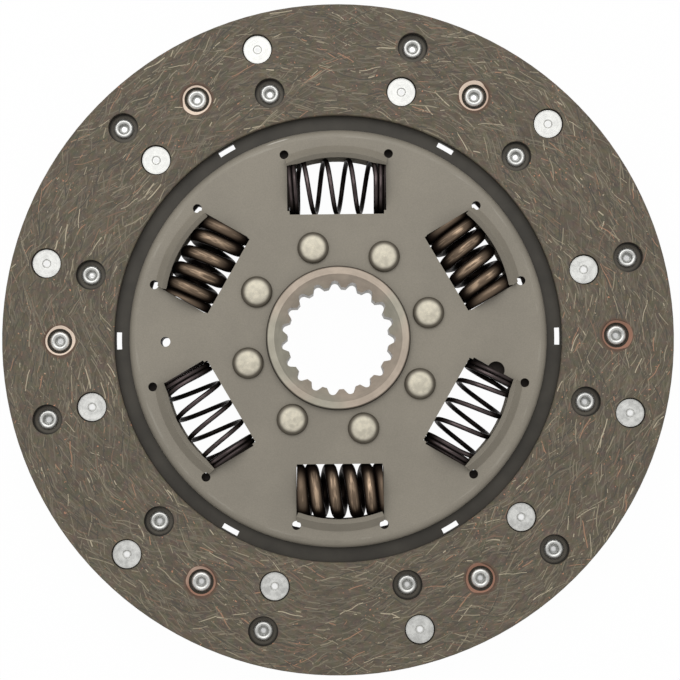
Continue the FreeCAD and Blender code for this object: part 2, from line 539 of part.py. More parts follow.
def make_driven_plate():
    """Sheet ring with six windows, six short slots, and a rim parted into sectors."""
    body = new_body("driven_plate")
    blank = new_sketch(body, "plate_outline")
    circle(blank, "0", "0", "Sizes.lining_diameter / 2 - Sizes.plate_margin")
    circle(blank, "0", "0", "Sizes.flange_diameter / 2 + Sizes.pilot_gap")
    pad(body, "plate_blank", blank, "Sizes.plate_thickness")
    above = f"{PLATE_TOP} + 1"
    tight = new_sketch(body, "tight_window_outline", height=above)
    wider = "(Sizes.thin_half + Sizes.plate_taper)"
    outline(tight, [
        ("-Sizes.thin_half", "Sizes.window_inner"),
        ("Sizes.thin_half", "Sizes.window_inner"),
        (wider, "Sizes.thin_window_outer"),
        (f"-{wider}", "Sizes.thin_window_outer"),
    ])
    tight_window = cut(body, "tight_window", tight)
    repeat(body, "tight_windows", [tight_window], "Sizes.sectors / 2")
    loose = new_sketch(body, "loose_window_outline", height=above, turn="180")
    side = "sqrt(Sizes.window_outer ^ 2 - Sizes.window_half ^ 2)"
    outline(loose, [
        ("-Sizes.window_half", "Sizes.window_inner"),
        ("Sizes.window_half", "Sizes.window_inner"),
        ("Sizes.window_half", side, "Sizes.window_outer"),
        ("-Sizes.window_half", side),
    ])
    loose_window = cut(body, "loose_window", loose)
    repeat(body, "loose_windows", [loose_window], "Sizes.sectors / 2")
    slot = new_sketch(body, "ring_slot_outline", height=above)
    half = "Sizes.ring_slot_angle / 2"
    outline(slot, [
        (*polar("Sizes.ring_slot_inner", f"-{half}"),),
        (*polar("Sizes.ring_slot_outer", f"-{half}"), "Sizes.ring_slot_outer"),
        (*polar("Sizes.ring_slot_outer", half),),
        (*polar("Sizes.ring_slot_inner", half), "Sizes.ring_slot_inner", "inwards"),
    ])
    ring_slot = cut(body, "ring_slot", slot)
    split = new_sketch(body, "sector_slot_outline", height=above)
    outline(split, [
        ("-Sizes.sector_slot_width / 2", "Sizes.sector_slot_inner"),
        ("Sizes.sector_slot_width / 2", "Sizes.sector_slot_inner"),
        ("Sizes.sector_slot_width / 2", "Sizes.lining_diameter / 2"),
        ("-Sizes.sector_slot_width / 2", "Sizes.lining_diameter / 2"),
    ])
    sector_slot = cut(body, "sector_slot", split)
    end = new_sketch(body, "sector_hole_outline", height=above)
    circle(end, "0", "Sizes.sector_slot_inner", "Sizes.sector_hole_diameter / 2")
    sector_hole = cut(body, "sector_hole", end)
    rivets = new_sketch(body, "plate_rivet_outline", height=above)
    for row in ("Sizes.outer_row", "Sizes.inner_row"):
        for angle in ("Sizes.row_step", "360 / Sizes.sectors - Sizes.row_step"):
            circle(rivets, *polar(row, angle), RIVET_HOLE)
    circle(rivets, "Sizes.middle_row", "0", RIVET_HOLE)
    holes = cut(body, "plate_rivet_holes", rivets)
    cuts = [ring_slot, sector_slot, sector_hole, holes]
    pattern = repeat(body, "plate_sectors", cuts, "Sizes.sectors")
    corners = [value(expression) for expression in (
        "sqrt(Sizes.thin_half ^ 2 + Sizes.window_inner ^ 2)",
        f"sqrt({wider} ^ 2 + Sizes.thin_window_outer ^ 2)",
        "sqrt(Sizes.window_half ^ 2 + Sizes.window_inner ^ 2)",
        "Sizes.window_outer",
    )]

    def window_edge(edge, middle):
        upright = abs(edge.tangentAt(edge.FirstParameter).z) > 0.99
        radius = (middle.x ** 2 + middle.y ** 2) ** 0.5
        return upright and any(abs(radius - corner) < 0.01 for corner in corners)

    rounding = body.newObject("PartDesign::Fillet", "window_corners")
    rounding.Base = (pattern, edges_where(pattern.Shape, window_edge))
    rounding.setExpression("Radius", "Sizes.window_corner")
    doc.recompute()
    sight = new_sketch(body, "plate_sight_outline", height=above)
    x, y = polar("Sizes.sight_hole_row", "Sizes.sight_hole_angle")
    circle(sight, x, y, "Sizes.sight_hole_diameter / 2")
    cut(body, "plate_sight_hole", sight)


def make_lining(name):
    """Friction ring with recesses for its own rivets and holes over those of the other ring.

    It is drawn as the front lining. The rear one is turned over about the X axis afterwards.
    """
    body = new_body(name)
    inner = "Sizes.lining_bore / 2"
    outer = "Sizes.lining_diameter / 2"
    blank = new_sketch(body, f"{name}_section", "XZ_Plane")
    outline(blank, [
        (inner, PLATE_TOP),
        (outer, PLATE_TOP),
        (outer, f"{LINING_TOP} - Sizes.lining_edge"),
        (f"{outer} - Sizes.lining_edge", LINING_TOP),
        (f"{inner} + Sizes.lining_edge", LINING_TOP),
        (inner, f"{LINING_TOP} - Sizes.lining_edge"),
    ])
    revolve(body, f"{name}_blank", blank)
    near = "Sizes.row_step"
    far = "(360 / Sizes.sectors - Sizes.row_step)"
    own = [polar("Sizes.outer_row", far), polar("Sizes.inner_row", near)]
    other = [polar("Sizes.outer_row", near), polar("Sizes.inner_row", far)]
    heads = new_sketch(body, f"{name}_head_outline", height=LINING_TOP)
    for x, y in own:
        circle(heads, x, y, "Sizes.head_recess_diameter / 2")
    head_recess = cut(body, f"{name}_head_recess", heads, "Sizes.head_recess_depth")
    both = new_sketch(body, f"{name}_through_outline", height=LINING_TOP)
    circle(both, "Sizes.middle_row", "0", "Sizes.through_recess_diameter / 2")
    through_recess = cut(body, f"{name}_through_recess", both, "Sizes.through_recess_depth")
    open_holes = new_sketch(body, f"{name}_hole_outline", height=f"{LINING_TOP} + 1")
    for x, y in other:
        circle(open_holes, x, y, "Sizes.access_diameter / 2")
    for x, y in own + [("Sizes.middle_row", "0")]:
        circle(open_holes, x, y, RIVET_HOLE)
    holes = cut(body, f"{name}_holes", open_holes)
    pattern = repeat(body, f"{name}_sectors", [head_recess, through_recess, holes],
                     "Sizes.sectors")
    top = value(LINING_TOP)
    rim = value("Sizes.through_recess_diameter / 2")

    def recess_rim(edge, middle):
        round_edge = hasattr(edge.Curve, "Radius")
        return round_edge and abs(edge.Curve.Radius - rim) < 0.001 and abs(middle.z - top) < 0.001

    mouth = body.newObject("PartDesign::Chamfer", f"{name}_mouths")
    mouth.Base = (pattern, edges_where(pattern.Shape, recess_rim))
    mouth.setExpression("Size", "(Sizes.through_recess_mouth - Sizes.through_recess_diameter) / 2")
    doc.recompute()
    return body


def tubular_rivet(body, name, row, angle, head_seat, tail_seat, head_diameter):
    """Turn one tubular rivet: flat head on head_seat, end rolled over below tail_seat."""
    tube = "Sizes.tube_bore / 2"
    shank = "Sizes.shank_diameter / 2"
    rolled = "Sizes.rolled_diameter / 2"
    height = "Sizes.rolled_height"
    head = f"{head_diameter} / 2"
    head_top = f"{head_seat} + Sizes.flat_head_height"
    shape = new_sketch(body, f"{name}_section", "XZ_Plane", centre=polar(row, angle))
    outline(shape, [
        ("0", f"-{tail_seat} + {height}"),
        (tube, f"-{tail_seat} + {height}"),
        (tube, f"-{tail_seat} - 0.4 * {height}", f"0.9 * {height}"),
        (f"({tube} + {rolled}) / 2", f"-{tail_seat} - {height}", f"0.9 * {height}"),
        (rolled, f"-{tail_seat} - 0.4 * {height}"),
        (rolled, f"-{tail_seat}"),
        (shank, f"-{tail_seat}"),
        (shank, head_seat),
        (head, head_seat),
        (head, f"{head_top} - 0.2"),
        (f"{head} - 0.2", head_top),
        ("Sizes.dimple_diameter / 2", head_top),
        ("Sizes.dimple_diameter / 2 - 0.3", f"{head_top} - Sizes.dimple_depth"),
        ("0", f"{head_top} - Sizes.dimple_depth"),
    ])
    return revolve(body, name, shape)


def make_lining_rivets(name):
    """Twelve rivets that hold one lining to the driven plate, drawn for the front lining."""
    body = new_body(name)
    far = "360 / Sizes.sectors - Sizes.row_step"
    outer = tubular_rivet(body, f"{name}_outer", "Sizes.outer_row", far,
                          HEAD_SEAT, PLATE_TOP, "Sizes.flat_head_diameter")
    inner = tubular_rivet(body, f"{name}_inner", "Sizes.inner_row", "Sizes.row_step",
                          HEAD_SEAT, PLATE_TOP, "Sizes.flat_head_diameter")
    repeat(body, f"{name}_sectors", [outer, inner], "Sizes.sectors")
    return body


def make_through_rivets():
    """Six rivets through both linings. Their heads are at the back."""
    body = new_body("through_rivets")
    rivet = tubular_rivet(body, "through_rivet", "Sizes.middle_row", "0",
                          THROUGH_SEAT, THROUGH_SEAT, "Sizes.through_head_diameter")
    repeat(body, "through_rivet_row", [rivet], "Sizes.sectors")
    return body


def make_hub_rivets():
    """Eight solid rivets with low heads on both covers."""
    body = new_body("hub_rivets")
    shank = "Sizes.hub_rivet_shank / 2"
    head = "Sizes.hub_rivet_head / 2"
    flat = "Sizes.hub_rivet_flat / 2"
    wall = f"{COVER_OUTSIDE} + Sizes.hub_rivet_wall"
    brow = f"({COVER_OUTSIDE} + Sizes.hub_rivet_height - Sizes.hub_rivet_crown)"
    crown = f"({COVER_OUTSIDE} + Sizes.hub_rivet_height)"
    shoulder = "(Sizes.hub_rivet_head - Sizes.hub_rivet_flat) * 0.65"
    dome = f"({flat} ^ 2 + Sizes.hub_rivet_crown ^ 2) / (2 * Sizes.hub_rivet_crown)"
    centre = polar("Sizes.hub_rivet_row", "Sizes.hub_rivet_angle")
    shape = new_sketch(body, "hub_rivet_section", "XZ_Plane", centre=centre)
    outline(shape, [
        ("0", f"-{crown}", dome, "dome"),
        (flat, f"-{brow}", shoulder),
        (head, f"-({wall})"),
        (head, f"-{COVER_OUTSIDE}"),
        (shank, f"-{COVER_OUTSIDE}"),
        (shank, COVER_OUTSIDE),
        (head, COVER_OUTSIDE),
        (head, wall, shoulder),
        (flat, brow, dome, "dome"),
        ("0", crown),
    ])
    rivet = revolve(body, "hub_rivet", shape)
    repeat(body, "hub_rivet_row", [rivet], "Sizes.hub_rivet_count")


def make_friction_ring(name, bottom, thickness):
    """Plain ring between the driven plate and a cover."""
    ring = doc.addObject("Part::Cylinder", f"{name}_disc")
    ring.setExpression("Radius", "Sizes.friction_ring_outer / 2")
    ring.setExpression("Height", thickness)
    hole = doc.addObject("Part::Cylinder", f"{name}_hole")
    hole.setExpression("Radius", "Sizes.friction_ring_bore / 2")
    hole.setExpression("Height", thickness)
    piece = doc.addObject("Part::Cut", name)
    piece.Label = name
    piece.Base = ring
    piece.Tool = hole
    piece.setExpression("Placement.Base.z", bottom)


def make_spring_washer():
    """Conical washer that presses the rear friction ring against the driven plate."""
    body = new_body("spring_washer")
    bore = "Sizes.friction_ring_bore / 2"
    rim = "Sizes.friction_ring_outer / 2"
    top = f"-({PLATE_TOP} + Sizes.rear_ring_thickness)"
    shape = new_sketch(body, "spring_washer_section", "XZ_Plane")
    outline(shape, [
        (bore, f"-{COVER_INSIDE}"),
        (rim, f"{top} - Sizes.washer_thickness"),
        (rim, top),
        (bore, f"-{COVER_INSIDE} + Sizes.washer_thickness"),
    ])
    revolve(body, "spring_washer_ring", shape)


def coil(name, mean, wire, pitch, turns, start, turned):
    """Sweep a wire along one stretch of a right-handed helix about +Z."""
    path = doc.addObject("Part::Helix", f"{name}_path")
    path.setExpression("Radius", mean)
    path.setExpression("Pitch", pitch)
    path.setExpression("Height", f"({pitch}) * ({turns})")
    # The wire is swept turn by turn, so that each of its faces stays short.
    path.SegmentLength = 1
    path.recompute()
    stretches = [f"Edge{number + 1}" for number in range(len(path.Shape.Edges))]
    section = doc.addObject("Part::Circle", f"{name}_section")
    section.setExpression("Radius", f"{wire} / 2")
    # The round section stands in the plane of the axis, where the stretch begins.
    section.Placement.Rotation = FreeCAD.Rotation(FreeCAD.Vector(1, 0, 0), 90)
    section.setExpression("Placement.Base.x", mean)
    sweep = doc.addObject("Part::Sweep", name)
    sweep.Sections = [section]
    sweep.Spine = (path, stretches)
    sweep.Solid = True
    sweep.Frenet = True
    sweep.setExpression("Placement.Base.z", start)
    sweep.Placement.Rotation = FreeCAD.Rotation(FreeCAD.Vector(0, 0, 1), value(turned))
    sweep.setExpression("Placement.Rotation.Angle", turned)
    return sweep


def make_springs(kind, length, side):
    """Three coil springs with closed, ground ends. They lie across the windows they sit in."""
    wire = f"Sizes.{kind}_wire"
    mean = f"(Sizes.{kind}_spring_diameter / 2 - {wire} / 2)"
    closed = f"Sizes.{kind}_closed"
    start = f"Sizes.{kind}_start"
    turns = f"Sizes.{kind}_turns"
    closed_rise = f"(Sizes.closed_pitch * {wire})"
    closed_length = f"({closed_rise} * {closed})"
    pitch = f"(({length} - 2 * {closed_length}) / {turns})"
    pieces = [
        coil(f"{kind}_first_end", mean, wire, closed_rise, closed, "0", start),
        coil(f"{kind}_middle", mean, wire, pitch, turns, closed_length,
             f"mod({start} + 360 * {closed}; 360)"),
        coil(f"{kind}_last_end", mean, wire, closed_rise, closed, f"{length} - {closed_length}",
             f"mod({start} + 360 * ({closed} + {turns}); 360)"),
    ]
    wound = doc.addObject("Part::MultiFuse", f"{kind}_wound")
    wound.Shapes = pieces
    # The axis of the spring is laid along +X, and its ends are ground flat.
    lying = FreeCAD.Rotation(FreeCAD.Vector(0, 1, 0), 90)
    ground = doc.addObject("Part::Cylinder", f"{kind}_ground")
    ground.setExpression("Radius", f"Sizes.{kind}_spring_diameter / 2 + 1")
    ground.setExpression("Height", length)
    for piece in (wound, ground):
        piece.Placement.Rotation = lying
        piece.setExpression("Placement.Base.x", f"-{length} / 2")
        piece.setExpression("Placement.Base.y", f"{side}Sizes.spring_row")
    for number in range(3):
        spring = doc.addObject("Part::Common", f"{kind}_spring_{number + 1}")
        spring.Base = wound
        spring.Tool = ground
        spring.Placement.Rotation = FreeCAD.Rotation(FreeCAD.Vector(0, 0, 1), 120 * number)
        spring.setExpression("Placement.Rotation.Angle", f"{number} * 720 / Sizes.sectors")
    doc.recompute()


make_hub()
make_driven_plate()
make_cover("front_cover", "Sizes.hub_rivet_angle", "Sizes.sight_hole_angle", True)
rear_cover = make_cover("rear_cover", "180 - Sizes.hub_rivet_angle",
                        "180 - Sizes.sight_hole_angle", False)
rear_cover.Placement.Rotation = FreeCAD.Rotation(FreeCAD.Vector(0, 1, 0), 180)
make_lining("front_lining")
rear_lining = make_lining("rear_lining")
make_lining_rivets("front_lining_rivets")
rear_rivets = make_lining_rivets("rear_lining_rivets")
through_rivets = make_through_rivets()
for turned_over in (rear_lining, rear_rivets, through_rivets):
    turned_over.Placement.Rotation = FreeCAD.Rotation(FreeCAD.Vector(1, 0, 0), 180)
make_hub_rivets()
make_friction_ring("front_friction_ring", PLATE_TOP, f"{COVER_INSIDE} - {PLATE_TOP}")
make_friction_ring("rear_friction_ring", f"-({PLATE_TOP} + Sizes.rear_ring_thickness)",
                   "Sizes.rear_ring_thickness")
make_spring_washer()
make_springs("thin", THIN_LENGTH, "")
make_springs("thick", THICK_LENGTH, "-")
doc.recompute()

NODES = {
    "hub": 1,
    "driven_plate": 1,
    "front_cover": 1,
    "rear_cover": 1,
    "front_lining": 1,
    "rear_lining": 1,
    "front_lining_rivets": 12,
    "rear_lining_rivets": 12,
    "through_rivets": 6,
    "hub_rivets": 8,
    "front_friction_ring": 1,
    "rear_friction_ring": 1,
    "spring_washer": 1,
    "thin_spring_1": 1,
    "thin_spring_2": 1,
    "thin_spring_3": 1,
    "thick_spring_1": 1,
    "thick_spring_2": 1,
    "thick_spring_3": 1,
}

for item in doc.Objects:
    if "Invalid" in item.State or "Error" in item.State:
        raise ValueError(f"{item.Name} failed: {item.State}")
pieces = {item.Label: item for item in doc.Objects}
for label, usual in NODES.items():
    shape = pieces[label].Shape
    if shape.isNull() or not shape.isValid():
        raise ValueError(f"{label} has no valid shape")
    print(f"{label}: {len(shape.Solids)} solids (usually {usual}), {shape.Volume:.0f} mm3")

os.makedirs("parts", exist_ok=True)
for label in NODES:
    pieces[label].Shape.exportStep(f"parts/{label}.step")
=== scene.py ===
import math

import bmesh
import bpy
from bpy.props import FloatProperty, FloatVectorProperty, IntProperty, PointerProperty
from mathutils import Matrix, Vector


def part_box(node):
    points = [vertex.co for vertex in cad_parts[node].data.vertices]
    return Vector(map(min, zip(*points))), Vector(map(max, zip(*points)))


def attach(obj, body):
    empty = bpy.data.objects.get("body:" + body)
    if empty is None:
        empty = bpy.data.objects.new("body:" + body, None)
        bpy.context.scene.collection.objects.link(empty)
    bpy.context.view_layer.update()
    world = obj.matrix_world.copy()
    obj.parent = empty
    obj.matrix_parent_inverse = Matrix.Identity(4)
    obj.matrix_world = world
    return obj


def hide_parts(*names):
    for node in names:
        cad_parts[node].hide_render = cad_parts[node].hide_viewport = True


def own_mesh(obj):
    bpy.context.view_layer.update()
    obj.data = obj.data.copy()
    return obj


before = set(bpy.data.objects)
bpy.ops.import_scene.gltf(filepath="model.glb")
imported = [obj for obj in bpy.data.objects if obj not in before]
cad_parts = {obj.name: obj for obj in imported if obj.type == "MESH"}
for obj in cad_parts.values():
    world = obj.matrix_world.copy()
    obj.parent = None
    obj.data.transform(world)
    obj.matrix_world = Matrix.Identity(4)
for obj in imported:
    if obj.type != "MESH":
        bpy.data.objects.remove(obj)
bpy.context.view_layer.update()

bl_info = {
    "name": "Clutch Disc",
    "version": (1, 0, 0),
    "blender": (4, 5, 0),
    "location": "3D View > Sidebar > Clutch Disc",
    "description": "Finishes a clutch disc with a torsion damper and sets up its studio picture",
    "category": "Object",
}

MM = 0.001

# Heights, in metres above the middle of the driven plate.
LINING_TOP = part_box("front_lining")[1].z
FLOOR_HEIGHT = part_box("hub")[0].z
HUB_TOP_EDGE = (7.6 * MM, 7.9 * MM)

# Rivets as (distance from the axis in metres, angle in degrees), for one step round the axis.
OUTER_ROW = 101.0 * MM
INNER_ROW = 85.6 * MM
MIDDLE_ROW = 93.3 * MM
HUB_RIVET_ROW = 31.3 * MM
LINING_STEP = 60.0
LINING_ROWS = ((OUTER_ROW, 45.0), (INNER_ROW, 15.0), (OUTER_ROW, 15.0), (INNER_ROW, 45.0))
THROUGH_ROW = ((MIDDLE_ROW, 0.0), (MIDDLE_ROW, 60.0))
HUB_STEP = 45.0
HUB_ROW = ((HUB_RIVET_ROW, 15.0),)

# Where one finish passes into another, as distances from the disc's axis.
SPLINE_REACH = (19.4 * MM, 19.6 * MM)
HUB_MOUTH_EDGE = (20.7 * MM, 21.9 * MM)
HUB_EDGE = (23.45 * MM, 23.65 * MM)
WINDOWS_REACH = (65.5 * MM, 66.0 * MM)
COVERS_REACH = (67.0 * MM, 68.5 * MM)
RIM_BEND = 67.45 * MM
RIM_EDGE = 68.95 * MM
LININGS_BEGIN = (74.6 * MM, 75.4 * MM)

# Where the rim of a cover is scratched, as an angle from +X.
SCRATCH = math.radians(106.6)
SCRATCH_ENDS = (math.radians(1.6), math.radians(3.8))

# Tones of painted shade and painted light, of the linings and their copper, and of oil, white and
# paper.
CUT_EDGE_SHADE = (0.030, 0.022, 0.015)
HUB_EDGE_SHADE = (0.030, 0.024, 0.017)
SPLINE_SHADE = (0.115, 0.098, 0.078)
SHADE_UNDER_COVERS = (0.022, 0.012, 0.007)
LINING_STREAK = (0.210, 0.176, 0.126)
LINING_PORE = (0.050, 0.045, 0.036)
LINING_GRAIN = (0.330, 0.285, 0.205)
YELLOW_FLECK = (0.50, 0.43, 0.31)
COPPER_FLECK = (0.56, 0.27, 0.16)
COPPER_HALO = (0.125, 0.070, 0.048)
COPPER_IN_SHADE = (0.36, 0.19, 0.13)
HOLE_WALL_SHADE = (0.020, 0.018, 0.015)
BORE_EDGE_SHADE = (0.085, 0.095, 0.090)
BORE_MIDDLE_LIGHT = (0.96, 0.96, 0.95)
RIVET_FLANK_SHADE = (0.060, 0.048, 0.033)
OIL_SHEEN = (0.30, 0.26, 0.24, 1.0)
WHITE = (1.0, 1.0, 1.0, 1.0)
PAPER = (0.92, 0.92, 0.92, 1.0)

# Tints of the fibres, each from the share of fibres at which it begins.
FIBRE_TINTS = (
    (0.00, (0.160, 0.138, 0.100)),
    (0.26, (0.185, 0.160, 0.112)),
    (0.44, (0.074, 0.066, 0.051)),
    (0.62, (0.228, 0.194, 0.134)),
    (0.80, (0.200, 0.128, 0.086)),
    (0.86, (0.305, 0.262, 0.180)),
    (0.935, (0.350, 0.200, 0.122)),
    (0.965, (0.470, 0.405, 0.285)),
)

# The winding of the linings: its swings in one turn, and how far fibres stray from it.
WINDING_WAVES = 7
STRAY = 0.18

# How fine the generated pieces are.
PATH_POINTS = 360
WIRE_SIDES = 20
FIBRE_POINTS = 7
MERGE_DISTANCE = 1e-7

SPRINGS_OF_A_KIND = 3
SQUARE_CENTIMETRES = 1e4  # in a square metre

# The large soft lamp, the floor and the camera's sensor, which is in millimetres.
KEY_PLACE = (-0.1, 0.52, 0.95)
KEY_SIZE = (1.3, 0.84)
FLOOR_HALF = 2.5
SENSOR_WIDTH = 36.0


def colour_property(name, description, default):
    """Describe a colour that a user can change."""
    return FloatVectorProperty(name=name, description=description, subtype="COLOR", size=3,
                               min=0.0, max=1.0, default=default)


def number_property(name, description, default, **more):
    """Describe a number that a user can change."""
    return FloatProperty(name=name, description=description, default=default, **more)


def length_property(name, description, default):
    """Describe a length that a user can change."""
    return number_property(name, description, default, min=0.0, unit="LENGTH",
                           subtype="DISTANCE", precision=5)


def angle_property(name, description, degrees):
    """Describe an angle that a user can change."""
    return number_property(name, description, math.radians(degrees), subtype="ANGLE")


class ClutchDiscFinishes(bpy.types.PropertyGroup):
    """Colours of the disc's pieces."""

    cover: colour_property("Covers", "Phosphated sheet of the two cover plates",
                           (0.264, 0.238, 0.192))
    cover_worn: colour_property("Worn rim", "Bright steel where the rim of a cover is rubbed",
                                (0.62, 0.59, 0.52))
    hub: colour_property("Hub", "Turned steel of the hub", (0.44, 0.385, 0.31))
    hub_mouth: colour_property("Hub mouths", "Conical mouths of the hub", (0.50, 0.445, 0.365))
    plate: colour_property("Driven plate", "Blackened sheet between the covers",
                           (0.053, 0.047, 0.037))
    lining: colour_property("Lining", "Resin of the friction linings", (0.136, 0.112, 0.080))
    lining_dark: colour_property("Lining shade", "Darker patches of the friction linings",
                                 (0.080, 0.069, 0.052))
    # The pale copper of the upper left, a painted lit tone; towards the lower right it turns to
    # painted shade.
    copper: colour_property("Copper", "Copper rubbed bare in the mouths of the through recesses",
                            (0.93, 0.76, 0.62))
    rivet: colour_property("Lining rivets", "Plated steel of the tubular rivets",
                           (0.75, 0.75, 0.72))
    hub_rivet: colour_property("Hub rivets", "Headed steel of the hub rivets",
                               (0.66, 0.61, 0.49))
    thin_spring: colour_property("Thin springs", "Oiled wire of the thin springs",
                                 (0.012, 0.009, 0.008))
    # Painted highlight along the crests of the thin springs' coils.
    thin_highlight: colour_property("Thin springs, wiped", "Where their coils are wiped",
                                (0.165, 0.130, 0.130))
    thick_spring: colour_property("Thick springs", "Oil-tempered wire of the thick springs",
                                  (0.018, 0.012, 0.009))
    # Painted highlight along the crests of the thick springs' coils.
    thick_highlight: colour_property("Thick springs, wiped", "Where their coils are wiped",
                                 (0.530, 0.385, 0.265))


class ClutchDiscFibres(bpy.types.PropertyGroup):
    """Fibres that show on the friction faces."""

    density: number_property("Density", "Fibres on each square centimetre", 32.0, min=0.0)
    longest: length_property("Longest", "Length of the longest fibres", 9.0 * MM)
    width: length_property("Width", "Width of a typical fibre", 0.29 * MM)
    swing: angle_property("Swing", "How far the winding swings off the tangent", 28.0)
    waves: IntProperty(name="Waves", description="Swings of the winding in one turn",
                       default=WINDING_WAVES, min=1)
    seed: IntProperty(name="Seed", description="Start of the random places", default=11)


class ClutchDiscSprings(bpy.types.PropertyGroup):
    """Sizes of the coil springs, close to those of the solids."""

    row: length_property("Row", "From the disc's axis to the middle of a spring", 51.2 * MM)
    thin_diameter: length_property("Thin diameter", "Over the coils", 19.6 * MM)
    thin_wire: length_property("Thin wire", "Diameter of the wire", 1.62 * MM)
    thin_length: length_property("Thin length", "Over the ground ends, in the middle", 32.42 * MM)
    thin_flare: number_property("Thin flare", "How much longer a thin spring is for each metre "
                                "away from the disc's axis, as a share", 2.65)
    thin_turns: number_property("Thin turns", "Open turns", 3.4)
    thin_closed: number_property("Thin closed turns", "Closed turns at each end", 1.95)
    thin_start: angle_property("Thin start", "Where the wire begins, from the back of the disc",
                               36.0)
    thin_keep: number_property("Thin keep", "Share of its length that a thin spring keeps when "
                               "the damper is at its limit", 0.8)
    thick_diameter: length_property("Thick diameter", "Over the coils", 19.2 * MM)
    thick_wire: length_property("Thick wire", "Diameter of the wire", 4.4 * MM)
    thick_length: length_property("Thick length", "Over the ground ends, in the middle",
                                  28.84 * MM)
    thick_flare: number_property("Thick flare", "The same for a thick spring", 1.28)
    thick_turns: number_property("Thick turns", "Open turns", 3.05)
    thick_closed: number_property("Thick closed turns", "Closed turns at each end", 1.15)
    thick_start: angle_property("Thick start", "Where the wire begins, from the back of the disc",
                                50.0)
    thick_keep: number_property("Thick keep", "Share of its length that a thick spring keeps when "
                                "the damper is at its limit", 0.85)
    closed_pitch: number_property("Closed pitch", "Pitch of the closed end turns, as a share of "
                                  "the wire", 1.0)
    tip_turns: number_property("Tip turns", "Turns of the ground, tapering tips", 0.4)


class ClutchDiscStage(bpy.types.PropertyGroup):
    """Camera, lights and floor."""

    camera_height: length_property("Camera height", "Above the middle of the disc", 0.8)
    camera_right: number_property("Camera right", "To the right of the axis", -0.004,
                                  unit="LENGTH")
    camera_up: number_property("Camera up", "Towards the picture's upper edge from the axis",
                               -0.031, unit="LENGTH")
    aim_right: number_property("Aim right", "What the camera looks at, to the right of the axis",
                               0.57 * MM, unit="LENGTH")
    aim_up: number_property("Aim up", "What the camera looks at, towards the picture's upper "
                            "edge from the axis", -0.67 * MM, unit="LENGTH")
    roll: angle_property("Roll", "Turn of the camera about its line of sight", -0.65)
    lens: number_property("Lens", "Focal length in millimetres on a sensor 36 mm wide", 125.9)
    key_strength: number_property("Key strength", "Power of the large soft lamp", 5.6,
                                  unit="POWER")
    world_strength: number_property("World strength", "Light from all round", 0.62)
    backdrop: number_property("Backdrop", "Share of plain white in what the camera sees of the "
                              "floor; the rest keeps the shadow", 0.98)


def put(tree, kind, inputs=None, **settings):
    """Add a node, set it up, and fill its inputs with values or with other nodes' outputs."""
    node = tree.nodes.new(kind)
    for name, setting in settings.items():
        setattr(node, name, setting)
    for key, content in (inputs or {}).items():
        socket = node.inputs[key]
        if isinstance(content, bpy.types.NodeSocket):
            tree.links.new(content, socket)
        else:
            socket.default_value = content
    return node


def maths(tree, operation, *values):
    """Add a Math node and give its result."""
    return put(tree, "ShaderNodeMath", dict(enumerate(values)), operation=operation).outputs[0]


def times(tree, first, second):
    """Multiply two values."""
    return maths(tree, "MULTIPLY", first, second)


def vector_maths(tree, operation, *vectors):
    """Add a Vector Math node and give its result, which is a number for a length or distance."""
    node = put(tree, "ShaderNodeVectorMath", dict(enumerate(vectors)), operation=operation)
    return node.outputs["Value" if operation in {"LENGTH", "DISTANCE"} else "Vector"]


def xyz(tree, x=0.0, y=0.0, z=0.0):
    """Join three numbers to a vector."""
    return put(tree, "ShaderNodeCombineXYZ", {0: x, 1: y, 2: z}).outputs[0]


def split(tree, vector):
    """Take a vector apart into its three numbers."""
    return put(tree, "ShaderNodeSeparateXYZ", {0: vector}).outputs


def ramp(tree, factor, low, high, to_low=0.0, to_high=1.0):
    """Map a value from low..high to to_low..to_high, smoothly and without overshoot."""
    node = put(tree, "ShaderNodeMapRange",
               {"Value": factor, "From Min": low, "From Max": high,
                "To Min": to_low, "To Max": to_high}, interpolation_type="SMOOTHSTEP")
    return node.outputs["Result"]


def blend_colours(tree, factor, first, second, kind="MIX"):
    """Mix two colours, each a socket or three numbers."""
    node = tree.nodes.new("ShaderNodeMix")
    node.data_type = "RGBA"
    node.blend_type = kind
    for index, content in ((0, factor), (6, first), (7, second)):
        socket = node.inputs[index]
        if isinstance(content, bpy.types.NodeSocket):
            tree.links.new(content, socket)
        elif index == 0:
            socket.default_value = content
        else:
            socket.default_value = (*content, 1.0)
    return node.outputs[2]


def shade(tree, colour, *levels):
    """Multiply a colour by one level, or by a level each for red, green and blue."""
    levels = levels if len(levels) > 1 else levels * 3
    return blend_colours(tree, 1.0, colour, xyz(tree, *levels), "MULTIPLY")


def noise(tree, vector, scale, detail=3.0, roughness=0.55):
    """Add a noise pattern and give its value."""
    node = put(tree, "ShaderNodeTexNoise", {"Vector": vector, "Scale": scale, "Detail": detail,
                                            "Roughness": roughness})
    return node.outputs["Fac"]


